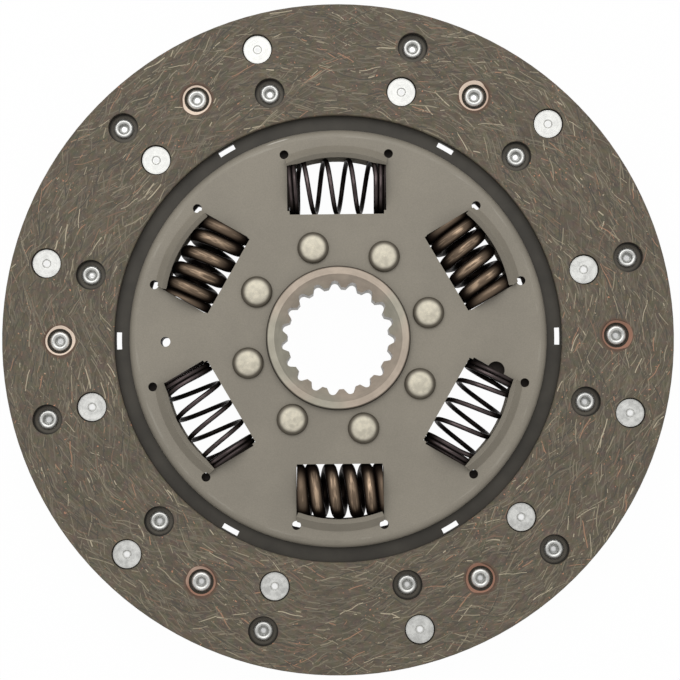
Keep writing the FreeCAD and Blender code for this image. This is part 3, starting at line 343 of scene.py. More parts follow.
class Finish:
    """A Principled material with the object's place, radius and angle at hand."""

    def __init__(self, name, colour, roughness, metallic=0.0, specular=0.5):
        self.material = bpy.data.materials.new(name)
        self.material.use_nodes = True
        self.material.diffuse_color = (*colour, 1.0)
        self.tree = self.material.node_tree
        self.tree.nodes.clear()
        output = self.tree.nodes.new("ShaderNodeOutputMaterial")
        self.shader = self.tree.nodes.new("ShaderNodeBsdfPrincipled")
        self.tree.links.new(self.shader.outputs["BSDF"], output.inputs["Surface"])
        self.shader.inputs["Base Color"].default_value = (*colour, 1.0)
        self.shader.inputs["Roughness"].default_value = roughness
        self.shader.inputs["Metallic"].default_value = metallic
        self.shader.inputs["Specular IOR Level"].default_value = specular
        coordinates = put(self.tree, "ShaderNodeTexCoord").outputs
        self.place = coordinates["Object"]
        self.normal = coordinates["Normal"]
        self.axes = split(self.tree, self.place)

    def radius(self):
        """Distance from the disc's axis."""
        return vector_maths(self.tree, "LENGTH", xyz(self.tree, self.axes[0], self.axes[1]))

    def upright(self):
        """How squarely the surface faces the front or the back, from 0 to 1."""
        return maths(self.tree, "ABSOLUTE", split(self.tree, self.normal)[2])

    def off(self, value, middle):
        """How far a value is from a middle one, either way."""
        return maths(self.tree, "ABSOLUTE", maths(self.tree, "SUBTRACT", value, middle))

    def angle(self):
        """Angle about the disc's axis from +X, in radians from -pi to pi."""
        return maths(self.tree, "ARCTAN2", self.axes[1], self.axes[0])

    def ring_place(self, along, across, shift=None):
        """A place whose pattern stretches round the axis, without a seam."""
        tree = self.tree
        unit = split(tree, vector_maths(tree, "NORMALIZE", xyz(tree, self.axes[0], self.axes[1])))
        far = self.radius()
        if shift is not None:
            far = maths(tree, "ADD", far, shift)
        return xyz(tree, times(tree, unit[0], along), times(tree, unit[1], along),
                   times(tree, far, across))

    def from_centres(self, step, centres):
        """Distance to the nearest of some centres that repeat round the axis.

        step is the angle between repeats, and centres are (radius, angle) in one step. Both
        angles are in degrees.
        """
        tree = self.tree
        turn = maths(tree, "ADD", self.angle(), math.tau)
        folded = maths(tree, "MODULO", turn, math.radians(step))
        far = self.radius()
        here = xyz(tree, times(tree, far, maths(tree, "COSINE", folded)),
                   times(tree, far, maths(tree, "SINE", folded)))
        nearest = None
        for centre_radius, centre_angle in centres:
            centre = (centre_radius * math.cos(math.radians(centre_angle)),
                      centre_radius * math.sin(math.radians(centre_angle)), 0.0)
            gap = vector_maths(tree, "DISTANCE", here, centre)
            nearest = gap if nearest is None else maths(tree, "MINIMUM", nearest, gap)
        return nearest

    def bump(self, height, strength, distance):
        """Roughen the surface by a height pattern."""
        node = put(self.tree, "ShaderNodeBump", {"Height": height, "Strength": strength,
                                                 "Distance": distance})
        previous = self.shader.inputs["Normal"].links
        if previous:
            self.tree.links.new(previous[0].from_socket, node.inputs["Normal"])
        self.tree.links.new(node.outputs["Normal"], self.shader.inputs["Normal"])

    def set(self, name, content):
        """Feed one input of the shader."""
        self.tree.links.new(content, self.shader.inputs[name])

    def on(self, *names):
        """Give this finish to CAD nodes."""
        for name in names:
            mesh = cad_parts[name].data
            mesh.materials.clear()
            mesh.materials.append(self.material)


def cover_finish(finishes):
    """Khaki grey phosphated sheet with painted shade on its cut edges. The bend of the rim is
    rubbed bright.
    """
    finish = Finish("cover_steel", finishes.cover, 0.5, metallic=0.12, specular=0.35)
    tree = finish.tree
    cloud = noise(tree, finish.place, scale=45.0, detail=4.0, roughness=0.6)
    grain = noise(tree, finish.place, scale=2600.0, detail=2.0, roughness=0.7)
    base = shade(tree, finishes.cover, times(
        tree, ramp(tree, cloud, 0.3, 0.7, 0.93, 1.05),
        ramp(tree, grain, 0.25, 0.75, 0.93, 1.07)))
    far = finish.radius()
    band = ramp(tree, finish.off(far, RIM_BEND), 0.15 * MM, 0.55 * MM, 1.0, 0.0)
    patches = ramp(tree, noise(tree, finish.ring_place(6.0, 900.0), scale=1.0), 0.50, 0.62)
    rubbed = times(tree, band, patches)
    scratch = times(
        tree, ramp(tree, finish.off(far, RIM_EDGE), 0.05 * MM, 0.32 * MM, 1.0, 0.0),
        ramp(tree, finish.off(finish.angle(), SCRATCH), *SCRATCH_ENDS, 0.75, 0.0))
    wear_and_highlight = maths(tree, "MAXIMUM", times(tree, rubbed, 0.12), scratch)
    # Painted shade: faces that look sideways, the cut edges of windows and holes inside the rim,
    # are darkened.
    cut_edge_shade = times(tree, ramp(tree, finish.upright(), 0.1, 0.4, 0.85, 0.0),
                     ramp(tree, far, *WINDOWS_REACH, 1.0, 0.0))
    base = blend_colours(tree, cut_edge_shade, base, CUT_EDGE_SHADE)
    finish.set("Base Color", blend_colours(tree, wear_and_highlight, base, finishes.cover_worn))
    finish.set("Roughness", ramp(tree, cloud, 0.3, 0.7, 0.43, 0.52))
    finish.bump(grain, 0.18, 0.02 * MM)
    return finish


def hub_finish(finishes):
    """Turned steel with fine rings, with painted shade on the flanks of the spline and round the
    outer edge.
    """
    finish = Finish("hub_steel", finishes.hub, 0.4, metallic=0.55)
    tree = finish.tree
    rings = noise(tree, finish.ring_place(3.0, 9000.0), scale=1.0, detail=2.0)
    cloud = noise(tree, finish.place, scale=150.0)
    far = finish.radius()
    base = blend_colours(tree, ramp(tree, far, *HUB_MOUTH_EDGE), finishes.hub_mouth, finishes.hub)
    mottle = times(tree, ramp(tree, cloud, 0.35, 0.65, 0.90, 1.06),
                   ramp(tree, rings, 0.3, 0.7, 0.93, 1.05))
    warm = ramp(tree, noise(tree, finish.place, scale=40.0, detail=1.0), 0.4, 0.6, 0.94, 1.05)
    base = shade(tree, base, times(tree, mottle, warm), mottle, mottle)
    flanks = times(tree, ramp(tree, finish.upright(), 0.1, 0.3, 0.8, 0.0),
                   ramp(tree, far, *SPLINE_REACH, 1.0, 0.0))
    base = blend_colours(tree, flanks, base, SPLINE_SHADE)
    # Painted shade round the outer edge of the hub, strongest on the side of its boss.
    edge = times(tree, ramp(tree, far, *HUB_EDGE, 0.0, 0.85),
                 ramp(tree, finish.axes[2], *HUB_TOP_EDGE, 1.0, 0.35))
    finish.set("Base Color", blend_colours(tree, edge, base, HUB_EDGE_SHADE))
    finish.set("Roughness", ramp(tree, rings, 0.3, 0.7, 0.36, 0.46))
    finish.bump(rings, 0.2, 0.02 * MM)
    return finish


def plate_finish(finishes):
    """Blackened cloudy sheet; painted light and shade in the lining holes, painted brown shade
    under the covers.
    """
    finish = Finish("plate_steel", finishes.plate, 0.5, metallic=0.2, specular=0.4)
    tree = finish.tree
    far = finish.radius()
    cloud = noise(tree, finish.place, scale=70.0, detail=4.0, roughness=0.6)
    # Painted light and shade in the lining holes: paler round each rivet, darker towards the wall
    # of the hole.
    hole_light_and_shade = ramp(tree, finish.from_centres(LINING_STEP, LINING_ROWS), 4.1 * MM, 4.9 * MM,
                1.3, -0.5)
    paler = maths(tree, "ADD", times(tree, ramp(tree, far, *LININGS_BEGIN), hole_light_and_shade), 1.0)
    base = shade(tree, finishes.plate, times(tree, ramp(tree, cloud, 0.3, 0.7, 0.8, 1.18), paler))
    # Painted shade: the sheet under the covers is darkened to brown.
    shaded_under_covers = ramp(tree, far, *COVERS_REACH, 0.9, 0.0)
    finish.set("Base Color", blend_colours(tree, shaded_under_covers, base, SHADE_UNDER_COVERS))
    finish.bump(noise(tree, finish.place, scale=2400.0, detail=2.0), 0.2, 0.02 * MM)
    return finish


def lining_finish(finishes):
    """Moulded friction material with wound streaks and flecks, copper round the through rivets
    painted paler at the upper left, and painted shade deep in the holes.
    """
    finish = Finish("lining", finishes.lining, 0.72, specular=0.3)
    tree = finish.tree
    sway = maths(tree, "SINE", times(tree, finish.angle(), float(WINDING_WAVES)))
    streaks = []
    for sign in (1.0, -1.0):
        shift = times(tree, sway, sign * 6.0 * MM)
        streaks.append(noise(tree, finish.ring_place(9.0, 1300.0, shift), scale=1.0, detail=4.0,
                             roughness=0.62))
    lighter = maths(tree, "MAXIMUM", *streaks)
    darker = maths(tree, "MINIMUM", *streaks)
    fine = noise(tree, finish.place, scale=1400.0, roughness=0.65)
    patch = noise(tree, finish.place, scale=160.0, roughness=0.6)
    tint = put(tree, "ShaderNodeTexNoise", {"Vector": finish.place, "Scale": 420.0,
                                            "Detail": 2.0}).outputs["Color"]
    base = blend_colours(tree, ramp(tree, patch, 0.35, 0.65, 0.0, 0.35),
                         finishes.lining, finishes.lining_dark)
    base = blend_colours(tree, ramp(tree, darker, 0.47, 0.30, 0.0, 0.7), base,
                         finishes.lining_dark)
    base = blend_colours(tree, ramp(tree, lighter, 0.54, 0.70, 0.0, 0.7), base, LINING_STREAK)
    base = blend_colours(tree, 0.22, base, tint, "SOFT_LIGHT")
    base = blend_colours(tree, ramp(tree, fine, 0.45, 0.25, 0.0, 0.45), base, LINING_PORE)
    base = blend_colours(tree, ramp(tree, fine, 0.64, 0.74, 0.0, 0.55), base, LINING_GRAIN)
    for shift, colour, rare in ((0.0, YELLOW_FLECK, 0.72), (1.0, COPPER_FLECK, 0.68)):
        moved = vector_maths(tree, "ADD", finish.place, (shift, 0.0, 0.0))
        flecks = ramp(tree, noise(tree, moved, scale=900.0, detail=1.0), rare, rare + 0.06)
        crowd = ramp(tree, noise(tree, moved, scale=90.0, detail=1.0), 0.45, 0.6, 0.15, 0.85)
        base = blend_colours(tree, times(tree, flecks, crowd), base, colour)
    through = finish.from_centres(LINING_STEP, THROUGH_ROW)
    uneven = noise(tree, finish.place, scale=85.0, detail=1.0)
    spread = maths(tree, "SUBTRACT", through, ramp(tree, uneven, 0.4, 0.6, 0.5 * MM, 1.1 * MM))
    mouth = ramp(tree, spread, 4.2 * MM, 4.3 * MM, 1.0, 0.0)
    level = maths(tree, "ABSOLUTE", finish.axes[2])
    below = ramp(tree, level, LINING_TOP - 1.4 * MM, LINING_TOP - 1.2 * MM)
    copper = times(tree, mouth, below)
    halo = times(tree, ramp(tree, through, 5.2 * MM, 6.3 * MM, 0.7, 0.0), below)
    base = blend_colours(tree, halo, base, COPPER_HALO)
    # Painted light and shade: the copper is paler towards the upper left and darker towards the
    # lower right.
    copper_shade_across = maths(tree, "ADD", maths(tree, "SUBTRACT", finish.axes[0], finish.axes[1]),
                    ramp(tree, uneven, 0.35, 0.65, 25.0 * MM, -25.0 * MM))
    base = blend_colours(tree, copper, base, blend_colours(
        tree, ramp(tree, copper_shade_across, -70.0 * MM, 70.0 * MM), finishes.copper, COPPER_IN_SHADE))
    # Painted shade deep down in the lining's holes.
    wall_shade = ramp(tree, level, LINING_TOP - 1.3 * MM, LINING_TOP - 1.1 * MM, 0.6, 0.0)
    base = blend_colours(tree, wall_shade, base, HOLE_WALL_SHADE)
    finish.set("Base Color", base)
    finish.set("Roughness", ramp(tree, copper, 0.0, 1.0, 0.72, 0.42))
    finish.bump(fine, 0.35, 0.04 * MM)
    finish.bump(lighter, 0.3, 0.06 * MM)
    return finish


def fibre_finish():
    """Glass and copper fibres, each with a tint of its own."""
    finish = Finish("lining_fibres", (0.3, 0.26, 0.18), 0.55, specular=0.4)
    tree = finish.tree
    tint = put(tree, "ShaderNodeAttribute", attribute_name="tint").outputs["Fac"]
    colours = put(tree, "ShaderNodeValToRGB", {"Fac": tint})
    colours.color_ramp.interpolation = "CONSTANT"
    elements = colours.color_ramp.elements
    elements.remove(elements[-1])
    elements[0].position, first = FIBRE_TINTS[0]
    elements[0].color = (*first, 1.0)
    for position, colour in FIBRE_TINTS[1:]:
        elements.new(position).color = (*colour, 1.0)
    finish.set("Base Color", colours.outputs["Color"])
    return finish


def rivet_finish(name, colour, step, centres, roughness, metallic=1.0, rolled_under=None,
                 dark_from=None):
    """Plated or headed steel with turning marks about each rivet's own axis.

    A tubular rivet has a painted highlight in its middle, and its rolled end, which lies under the
    height rolled_under, has a ring of painted shade round a shining middle. A solid rivet gets
    painted shade from dark_from on.
    """
    finish = Finish(name, colour, roughness, metallic=metallic)
    tree = finish.tree
    gap = finish.from_centres(step, centres)
    steps = times(tree, gap, 5200.0)
    marks = put(tree, "ShaderNodeTexNoise", {"W": steps, "Scale": 1.0, "Detail": 2.0},
                noise_dimensions="1D").outputs["Fac"]
    cloud = noise(tree, finish.place, scale=520.0, roughness=0.6)
    rough = ramp(tree, cloud, 0.3, 0.7, roughness - 0.05, roughness + 0.09)
    base = shade(tree, colour, times(
        tree, ramp(tree, marks, 0.3, 0.7, 0.84, 1.06),
        ramp(tree, cloud, 0.32, 0.68, 0.84, 1.08)))
    if rolled_under is not None:
        rolled = ramp(tree, maths(tree, "ABSOLUTE", finish.axes[2]), rolled_under,
                      rolled_under + 0.1 * MM, 1.0, 0.0)
        # Painted shade: a dark ring on the rolled end round the edge of its bore.
        rolled_edge_shade = times(tree, rolled, ramp(
            tree, finish.off(gap, 1.2 * MM), 0.1 * MM, 0.5 * MM, 0.45, 0.0))
        base = blend_colours(tree, rolled_edge_shade, base, BORE_EDGE_SHADE)
        # Painted light: the middle of each rivet is near white, standing in for the light seen in
        # its bore.
        shrink = times(tree, rolled, 0.15 * MM)
        middle = ramp(tree, maths(tree, "ADD", gap, shrink), 0.7 * MM, 1.1 * MM, 1.0, 0.0)
        base = blend_colours(tree, middle, base, BORE_MIDDLE_LIGHT)
        shiny = times(tree, middle, rolled)
        rough = times(tree, rough, ramp(tree, shiny, 0.0, 1.0, 1.0, 0.3))
        finish.set("Metallic", maths(tree, "MAXIMUM", shiny, ramp(
            tree, middle, 0.0, 1.0, metallic, 0.0)))
    if dark_from is not None:
        # Painted shade on the flank of each solid rivet's head, darker outwards.
        edge = ramp(tree, gap, dark_from, dark_from + 1.4 * MM, 0.0, 0.9)
        base = blend_colours(tree, edge, base, RIVET_FLANK_SHADE)
    finish.set("Base Color", base)
    finish.set("Roughness", rough)
    finish.bump(marks, 0.35, 0.03 * MM)
    return finish


def spring_finish(name, colour, highlight_colour, roughness):
    """Drawn wire under oil, with a painted highlight in streaky lines where the coils face the
    front and the back.
    """
    finish = Finish(name, colour, roughness, metallic=0.6)
    finish.shader.inputs["Specular Tint"].default_value = OIL_SHEEN
    tree = finish.tree
    cloud = noise(tree, finish.place, scale=260.0, detail=4.0, roughness=0.6)
    crest = put(tree, "ShaderNodeAttribute", attribute_name="crest").outputs["Fac"]
    # Painted highlight: coils are brown and then bright in streaks on their outer side, only
    # towards the front and the back.
    level = maths(tree, "ABSOLUTE", finish.axes[2])
    fade = ramp(tree, level, 5.9 * MM, 9.6 * MM)
    brown = times(tree, ramp(tree, crest, 0.72, 0.95, 0.0, 0.28), fade)
    drawn = vector_maths(tree, "MULTIPLY", finish.place, (230.0, 230.0, 230.0))
    lines = put(tree, "ShaderNodeTexNoise", {
        "Vector": drawn, "W": times(tree, crest, 38.0), "Scale": 1.0,
        "Detail": 2.0}, noise_dimensions="4D").outputs["Fac"]
    highlit = times(tree, ramp(tree, crest, 0.88, 0.99), ramp(tree, lines, 0.42, 0.68, 0.30, 1.0))
    highlit = maths(tree, "MAXIMUM", brown, times(tree, highlit, fade))
    finish.set("Base Color", blend_colours(tree, highlit, colour, highlight_colour))
    finish.set("Roughness", ramp(tree, cloud, 0.3, 0.7, roughness - 0.06, roughness + 0.1))
    finish.bump(noise(tree, finish.place, scale=1500.0, detail=2.0), 0.12, 0.02 * MM)
    return finish


class NodeTree:
    """A Geometry Nodes tree under construction, with named inputs and short calls.

    The inputs are numbers, with the material last and, where the tree takes one, a mesh first.
    """

    def __init__(self, name, numbers, whole_numbers=(), takes_geometry=False):
        self.tree = bpy.data.node_groups.new(name, "GeometryNodeTree")
        self.sockets = {}
        if takes_geometry:
            self.tree.interface.new_socket("Geometry", in_out="INPUT",
                                           socket_type="NodeSocketGeometry")
        kinds = {title: "NodeSocketFloat" for title in numbers}
        kinds.update({title: "NodeSocketInt" for title in whole_numbers})
        kinds["Material"] = "NodeSocketMaterial"
        for title, kind in kinds.items():
            self.sockets[title] = self.tree.interface.new_socket(
                title, in_out="INPUT", socket_type=kind).identifier
        self.tree.interface.new_socket("Geometry", in_out="OUTPUT",
                                       socket_type="NodeSocketGeometry")
        self.start = self.tree.nodes.new("NodeGroupInput").outputs
        self.end = self.tree.nodes.new("NodeGroupOutput")

    def put(self, kind, inputs=None, **settings):
        """Add a node to the tree."""
        return put(self.tree, kind, inputs, **settings)

    def maths(self, operation, *values):
        """Add a Math node and give its result."""
        return maths(self.tree, operation, *values)

    def times(self, first, second):
        """Multiply two values."""
        return times(self.tree, first, second)

    def finish(self, geometry, material):
        """Make the result plain, give it its material and send it out."""
        plain = self.put("GeometryNodeRealizeInstances", {0: geometry}).outputs[0]
        done = self.put("GeometryNodeSetMaterial", {"Geometry": plain, "Material": material})
        self.tree.links.new(done.outputs[0], self.end.inputs[0])

    def bake(self, name, sizes, source=None):
        """Run the tree on an object, and give its result as a plain mesh object."""
        mesh = source if source is not None else bpy.data.meshes.new(name)
        carrier = bpy.data.objects.new(name, mesh)
        bpy.context.scene.collection.objects.link(carrier)
        modifier = carrier.modifiers.new(name, "NODES")
        modifier.node_group = self.tree
        for title, size in sizes.items():
            modifier[self.sockets[title]] = size
        carrier.update_tag()
        bpy.context.view_layer.update()
        evaluated = carrier.evaluated_get(bpy.context.evaluated_depsgraph_get())
        result = bpy.data.meshes.new_from_object(evaluated)
        carrier.modifiers.remove(modifier)
        carrier.data = result
        result.name = name
        return carrier


def coil_tree():
    """A right-handed compression spring with closed ends that are ground flat."""
    nodes = NodeTree("coil_spring", (
        "Diameter", "Wire", "Length", "Open Turns", "Closed Turns", "Closed Pitch", "Tip Turns",
        "Start", "Flare", "Row", "Turn"))
    start = nodes.start
    closed = start["Closed Turns"]
    opened = start["Open Turns"]
    slow = nodes.times(start["Closed Pitch"], start["Wire"])
    closed_length = nodes.times(slow, closed)
    open_length = nodes.maths("SUBTRACT", start["Length"], nodes.times(closed_length, 2.0))
    pitch = nodes.maths("DIVIDE", open_length, opened)
    tip = start["Tip Turns"]
    turns = nodes.maths("ADD", opened, nodes.times(nodes.maths("ADD", closed, tip), 2.0))
    line = nodes.put("GeometryNodeCurvePrimitiveLine", {"End": (0.0, 0.0, 1.0)})
    path = nodes.put("GeometryNodeResampleCurve", {"Curve": line.outputs[0], "Count": PATH_POINTS})
    factor = nodes.put("GeometryNodeSplineParameter").outputs["Factor"]
    along = nodes.maths("SUBTRACT", nodes.times(factor, turns), tip)
    past = nodes.maths("SUBTRACT", along, closed)
    first = nodes.times(nodes.maths("MINIMUM", along, closed), slow)
    middle = nodes.times(nodes.maths("MAXIMUM", nodes.maths("MINIMUM", past, opened), 0.0), pitch)
    last = nodes.times(nodes.maths("MAXIMUM", nodes.maths("SUBTRACT", past, opened), 0.0), slow)
    height = nodes.maths("ADD", nodes.maths("ADD", first, middle), last)
    angle = nodes.maths("ADD", nodes.times(along, math.tau), start["Start"])
    mean = nodes.times(nodes.maths("SUBTRACT", start["Diameter"], start["Wire"]), 0.5)
    spot = xyz(nodes.tree, nodes.times(mean, nodes.maths("COSINE", angle)),
               nodes.times(mean, nodes.maths("SINE", angle)), height)
    helix = nodes.put("GeometryNodeSetPosition", {"Geometry": path.outputs[0], "Position": spot})
    profile = nodes.put("GeometryNodeCurvePrimitiveCircle", {
        "Resolution": WIRE_SIDES, "Radius": nodes.times(start["Wire"], 0.5)})
    wire = nodes.put("GeometryNodeCurveToMesh", {
        "Curve": helix.outputs[0], "Profile Curve": profile.outputs[0], "Fill Caps": True})
    parts = split(nodes.tree, nodes.put("GeometryNodeInputPosition").outputs[0])
    # The crest, how far out from the spring's axis a point lies, places the painted highlight of
    # the spring finish, a little weaker near the ground ends.
    far = vector_maths(nodes.tree, "LENGTH", xyz(nodes.tree, parts[0], parts[1]))
    inside = nodes.maths("SUBTRACT", nodes.times(start["Diameter"], 0.5), start["Wire"])
    crest = nodes.maths("DIVIDE", nodes.maths("SUBTRACT", far, inside), start["Wire"])
    half = nodes.times(start["Length"], 0.5)
    flat = nodes.maths("MINIMUM", nodes.maths("MAXIMUM", parts[2], 0.0), start["Length"])
    to_end = nodes.maths("MINIMUM", flat, nodes.maths("SUBTRACT", start["Length"], flat))
    inwards = nodes.maths("MINIMUM", nodes.maths("DIVIDE", to_end, start["Wire"]), 1.0)
    wear_and_highlight = nodes.times(crest, nodes.maths("ADD", nodes.times(inwards, 0.09), 0.91))
    marked = nodes.put("GeometryNodeStoreNamedAttribute", {
        "Geometry": wire.outputs[0], "Name": "crest", "Value": wear_and_highlight},
        data_type="FLOAT", domain="POINT")
    spread = nodes.maths("ADD", nodes.times(parts[1], start["Flare"]), 1.0)
    flared = nodes.times(nodes.maths("SUBTRACT", flat, half), spread)
    ground = nodes.put("GeometryNodeSetPosition", {
        "Geometry": marked.outputs[0], "Position": xyz(nodes.tree, parts[0], parts[1], flared)})
    smooth = nodes.put("GeometryNodeSetShadeSmooth", {"Geometry": ground.outputs[0]})
    lying = nodes.put("GeometryNodeTransform", {
        "Geometry": smooth.outputs[0], "Rotation": (0.0, math.radians(90.0), 0.0),
        "Translation": xyz(nodes.tree, y=start["Row"])})
    placed = nodes.put("GeometryNodeTransform", {
        "Geometry": lying.outputs[0], "Rotation": xyz(nodes.tree, z=start["Turn"])})
    nodes.finish(placed.outputs[0], start["Material"])
    return nodes


def fibre_tree():
    """Short fibres that lie in a friction face, along a winding that swings from side to side."""
    nodes = NodeTree("lining_fibres", (
        "Side", "Face Height", "Density", "Longest", "Width", "Swing"), ("Waves", "Seed"),
        takes_geometry=True)
    start = nodes.start
    lining = start["Geometry"]

    def random(low, high, salt):
        seed = nodes.maths("ADD", start["Seed"], float(salt))
        node = nodes.put("FunctionNodeRandomValue", {"Seed": seed}, data_type="FLOAT")
        node.inputs[2].default_value = low
        node.inputs[3].default_value = high
        return node.outputs[1]

    position = nodes.put("GeometryNodeInputPosition").outputs[0]
    axes = split(nodes.tree, position)
    normal = split(nodes.tree, nodes.put("GeometryNodeInputNormal").outputs[0])
    faces_out = nodes.times(normal[2], start["Side"])
    height = nodes.times(axes[2], start["Side"])
    top = nodes.maths("SUBTRACT", start["Face Height"], 0.05 * MM)
    chosen = nodes.times(nodes.maths("GREATER_THAN", faces_out, 0.99),
                         nodes.maths("GREATER_THAN", height, top))
    points = nodes.put("GeometryNodeDistributePointsOnFaces", {
        "Mesh": lining, "Selection": chosen, "Density": start["Density"], "Seed": start["Seed"]})
    around = nodes.maths("ARCTAN2", axes[1], axes[0])
    far = vector_maths(nodes.tree, "LENGTH", xyz(nodes.tree, axes[0], axes[1]))
    phase = nodes.maths("ADD", nodes.times(around, start["Waves"]), nodes.times(far, 60.0))
    lean = nodes.times(nodes.maths("SINE", phase), start["Swing"])
    sign = nodes.maths("SUBTRACT", nodes.times(nodes.maths(
        "GREATER_THAN", random(0.0, 1.0, 1), 0.35), 2.0), 1.0)
    stray = nodes.maths("ADD", random(-STRAY, STRAY, 2), random(-STRAY, STRAY, 3))
    heading = nodes.maths("ADD", nodes.maths("ADD", around, math.pi / 2),
                          nodes.maths("ADD", nodes.times(lean, sign), stray))
    ribbon = nodes.put("GeometryNodeMeshGrid", {"Size X": 1.0, "Size Y": 1.0,
                                                "Vertices X": FIBRE_POINTS, "Vertices Y": 2})
    share = nodes.maths("POWER", random(0.32, 1.0, 4), 2.8)
    long = nodes.times(share, start["Longest"])
    wide = nodes.times(random(0.45, 1.25, 5), start["Width"])
    placed = nodes.put("GeometryNodeInstanceOnPoints", {
        "Points": points.outputs[0], "Instance": ribbon.outputs[0],
        "Rotation": xyz(nodes.tree, z=heading), "Scale": xyz(nodes.tree, long, wide, 1.0)})
    tinted = nodes.put("GeometryNodeStoreNamedAttribute", {
        "Geometry": placed.outputs[0], "Name": "tint", "Value": random(0.0, 1.0, 6)},
        data_type="FLOAT", domain="INSTANCE")
    lift = nodes.times(random(0.006 * MM, 0.03 * MM, 7), start["Side"])
    lifted = nodes.put("GeometryNodeStoreNamedAttribute", {
        "Geometry": tinted.outputs[0], "Name": "lift", "Value": lift},
        data_type="FLOAT", domain="INSTANCE")
    strips = nodes.put("GeometryNodeRealizeInstances", {0: lifted.outputs[0]})
    drift = nodes.put("ShaderNodeTexNoise", {"Vector": position, "Scale": 120.0, "Detail": 1.0})
    centred = vector_maths(nodes.tree, "ADD", drift.outputs["Color"], (-0.5, -0.5, -0.5))
    sideways = vector_maths(nodes.tree, "MULTIPLY", centred, (3.0 * MM, 3.0 * MM, 0.0))
    raised = nodes.put("GeometryNodeInputNamedAttribute", {"Name": "lift"}, data_type="FLOAT")
    offset = vector_maths(nodes.tree, "ADD", sideways, xyz(nodes.tree, z=raised.outputs[0]))
    curled = nodes.put("GeometryNodeSetPosition", {"Geometry": strips.outputs[0],
                                                   "Offset": offset})
    above = vector_maths(nodes.tree, "ADD", position, xyz(
        nodes.tree, z=nodes.times(start["Side"], 1.0 * MM)))
    down = xyz(nodes.tree, z=nodes.times(start["Side"], -1.0))
    ray = nodes.put("GeometryNodeRaycast", {
        "Target Geometry": lining, "Source Position": above, "Ray Direction": down,
        "Ray Length": 1.06 * MM})
    off_the_face = nodes.put("FunctionNodeBooleanMath", {0: ray.outputs["Is Hit"]},
                             operation="NOT")
    trimmed = nodes.put("GeometryNodeDeleteGeometry", {
        "Geometry": curled.outputs[0], "Selection": off_the_face.outputs[0]}, domain="POINT")
    nodes.finish(trimmed.outputs[0], start["Material"])
    return nodes


def copy_of_node(name):
    """A merged copy of a CAD node's mesh."""
    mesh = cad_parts[name].data.copy()
    work = bmesh.new()
    work.from_mesh(mesh)
    bmesh.ops.remove_doubles(work, verts=work.verts, dist=MERGE_DISTANCE)
    work.to_mesh(mesh)
    work.free()
    return mesh


class CLUTCHDISC_OT_plates(bpy.types.Operator):
    """Finish the driven plate, the two covers and the friction rings"""

    bl_idname = "clutch_disc.plates"
    bl_label = "Plates"

    def execute(self, context):
        finishes = context.scene.clutch_finishes
        cover_finish(finishes).on("front_cover", "rear_cover")
        plate_finish(finishes).on("driven_plate")
        ring = Finish("friction_ring", (0.09, 0.08, 0.07), 0.6)
        ring.bump(noise(ring.tree, ring.place, scale=900.0), 0.3, 0.03 * MM)
        ring.on("front_friction_ring", "rear_friction_ring")
        Finish("spring_washer", (0.10, 0.09, 0.08), 0.4, metallic=0.9).on("spring_washer")
        return {"FINISHED"}


class CLUTCHDISC_OT_hub(bpy.types.Operator):
    """Finish the splined hub"""

    bl_idname = "clutch_disc.hub"
    bl_label = "Hub"

    def execute(self, context):
        hub_finish(context.scene.clutch_finishes).on("hub")
        return {"FINISHED"}


class CLUTCHDISC_OT_linings(bpy.types.Operator):
    """Finish the friction linings and lay fibres in their faces"""

    bl_idname = "clutch_disc.linings"
    bl_label = "Friction Linings"

    def execute(self, context):
        finishes = context.scene.clutch_finishes
        fibres = context.scene.clutch_fibres
        lining_finish(finishes).on("front_lining", "rear_lining")
        tree = fibre_tree()
        material = fibre_finish().material
        for name, side in (("front", 1.0), ("rear", -1.0)):
            piece = tree.bake(f"{name}_lining_fibres", {
                "Side": side, "Face Height": LINING_TOP,
                "Density": fibres.density * SQUARE_CENTIMETRES, "Longest": fibres.longest,
                "Width": fibres.width, "Swing": fibres.swing, "Waves": fibres.waves,
                "Seed": fibres.seed + int(side), "Material": material,
            }, copy_of_node(f"{name}_lining"))
            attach(piece, "lined_plate")
        return {"FINISHED"}


class CLUTCHDISC_OT_rivets(bpy.types.Operator):
    """Finish the rivets of the linings and the hub"""

    bl_idname = "clutch_disc.rivets"
    bl_label = "Rivets"

    def execute(self, context):
        finishes = context.scene.clutch_finishes
        rivet_finish("lining_rivet", finishes.rivet, LINING_STEP, LINING_ROWS, 0.34, metallic=0.8,
                     rolled_under=2.0 * MM).on("front_lining_rivets", "rear_lining_rivets")
        rivet_finish("through_rivet", finishes.rivet, LINING_STEP, THROUGH_ROW, 0.32, metallic=0.8,
                     rolled_under=LINING_TOP).on("through_rivets")
        rivet_finish("hub_rivet", finishes.hub_rivet, HUB_STEP, HUB_ROW, 0.42,
                     metallic=0.5, dark_from=3.2 * MM).on("hub_rivets")
        return {"FINISHED"}


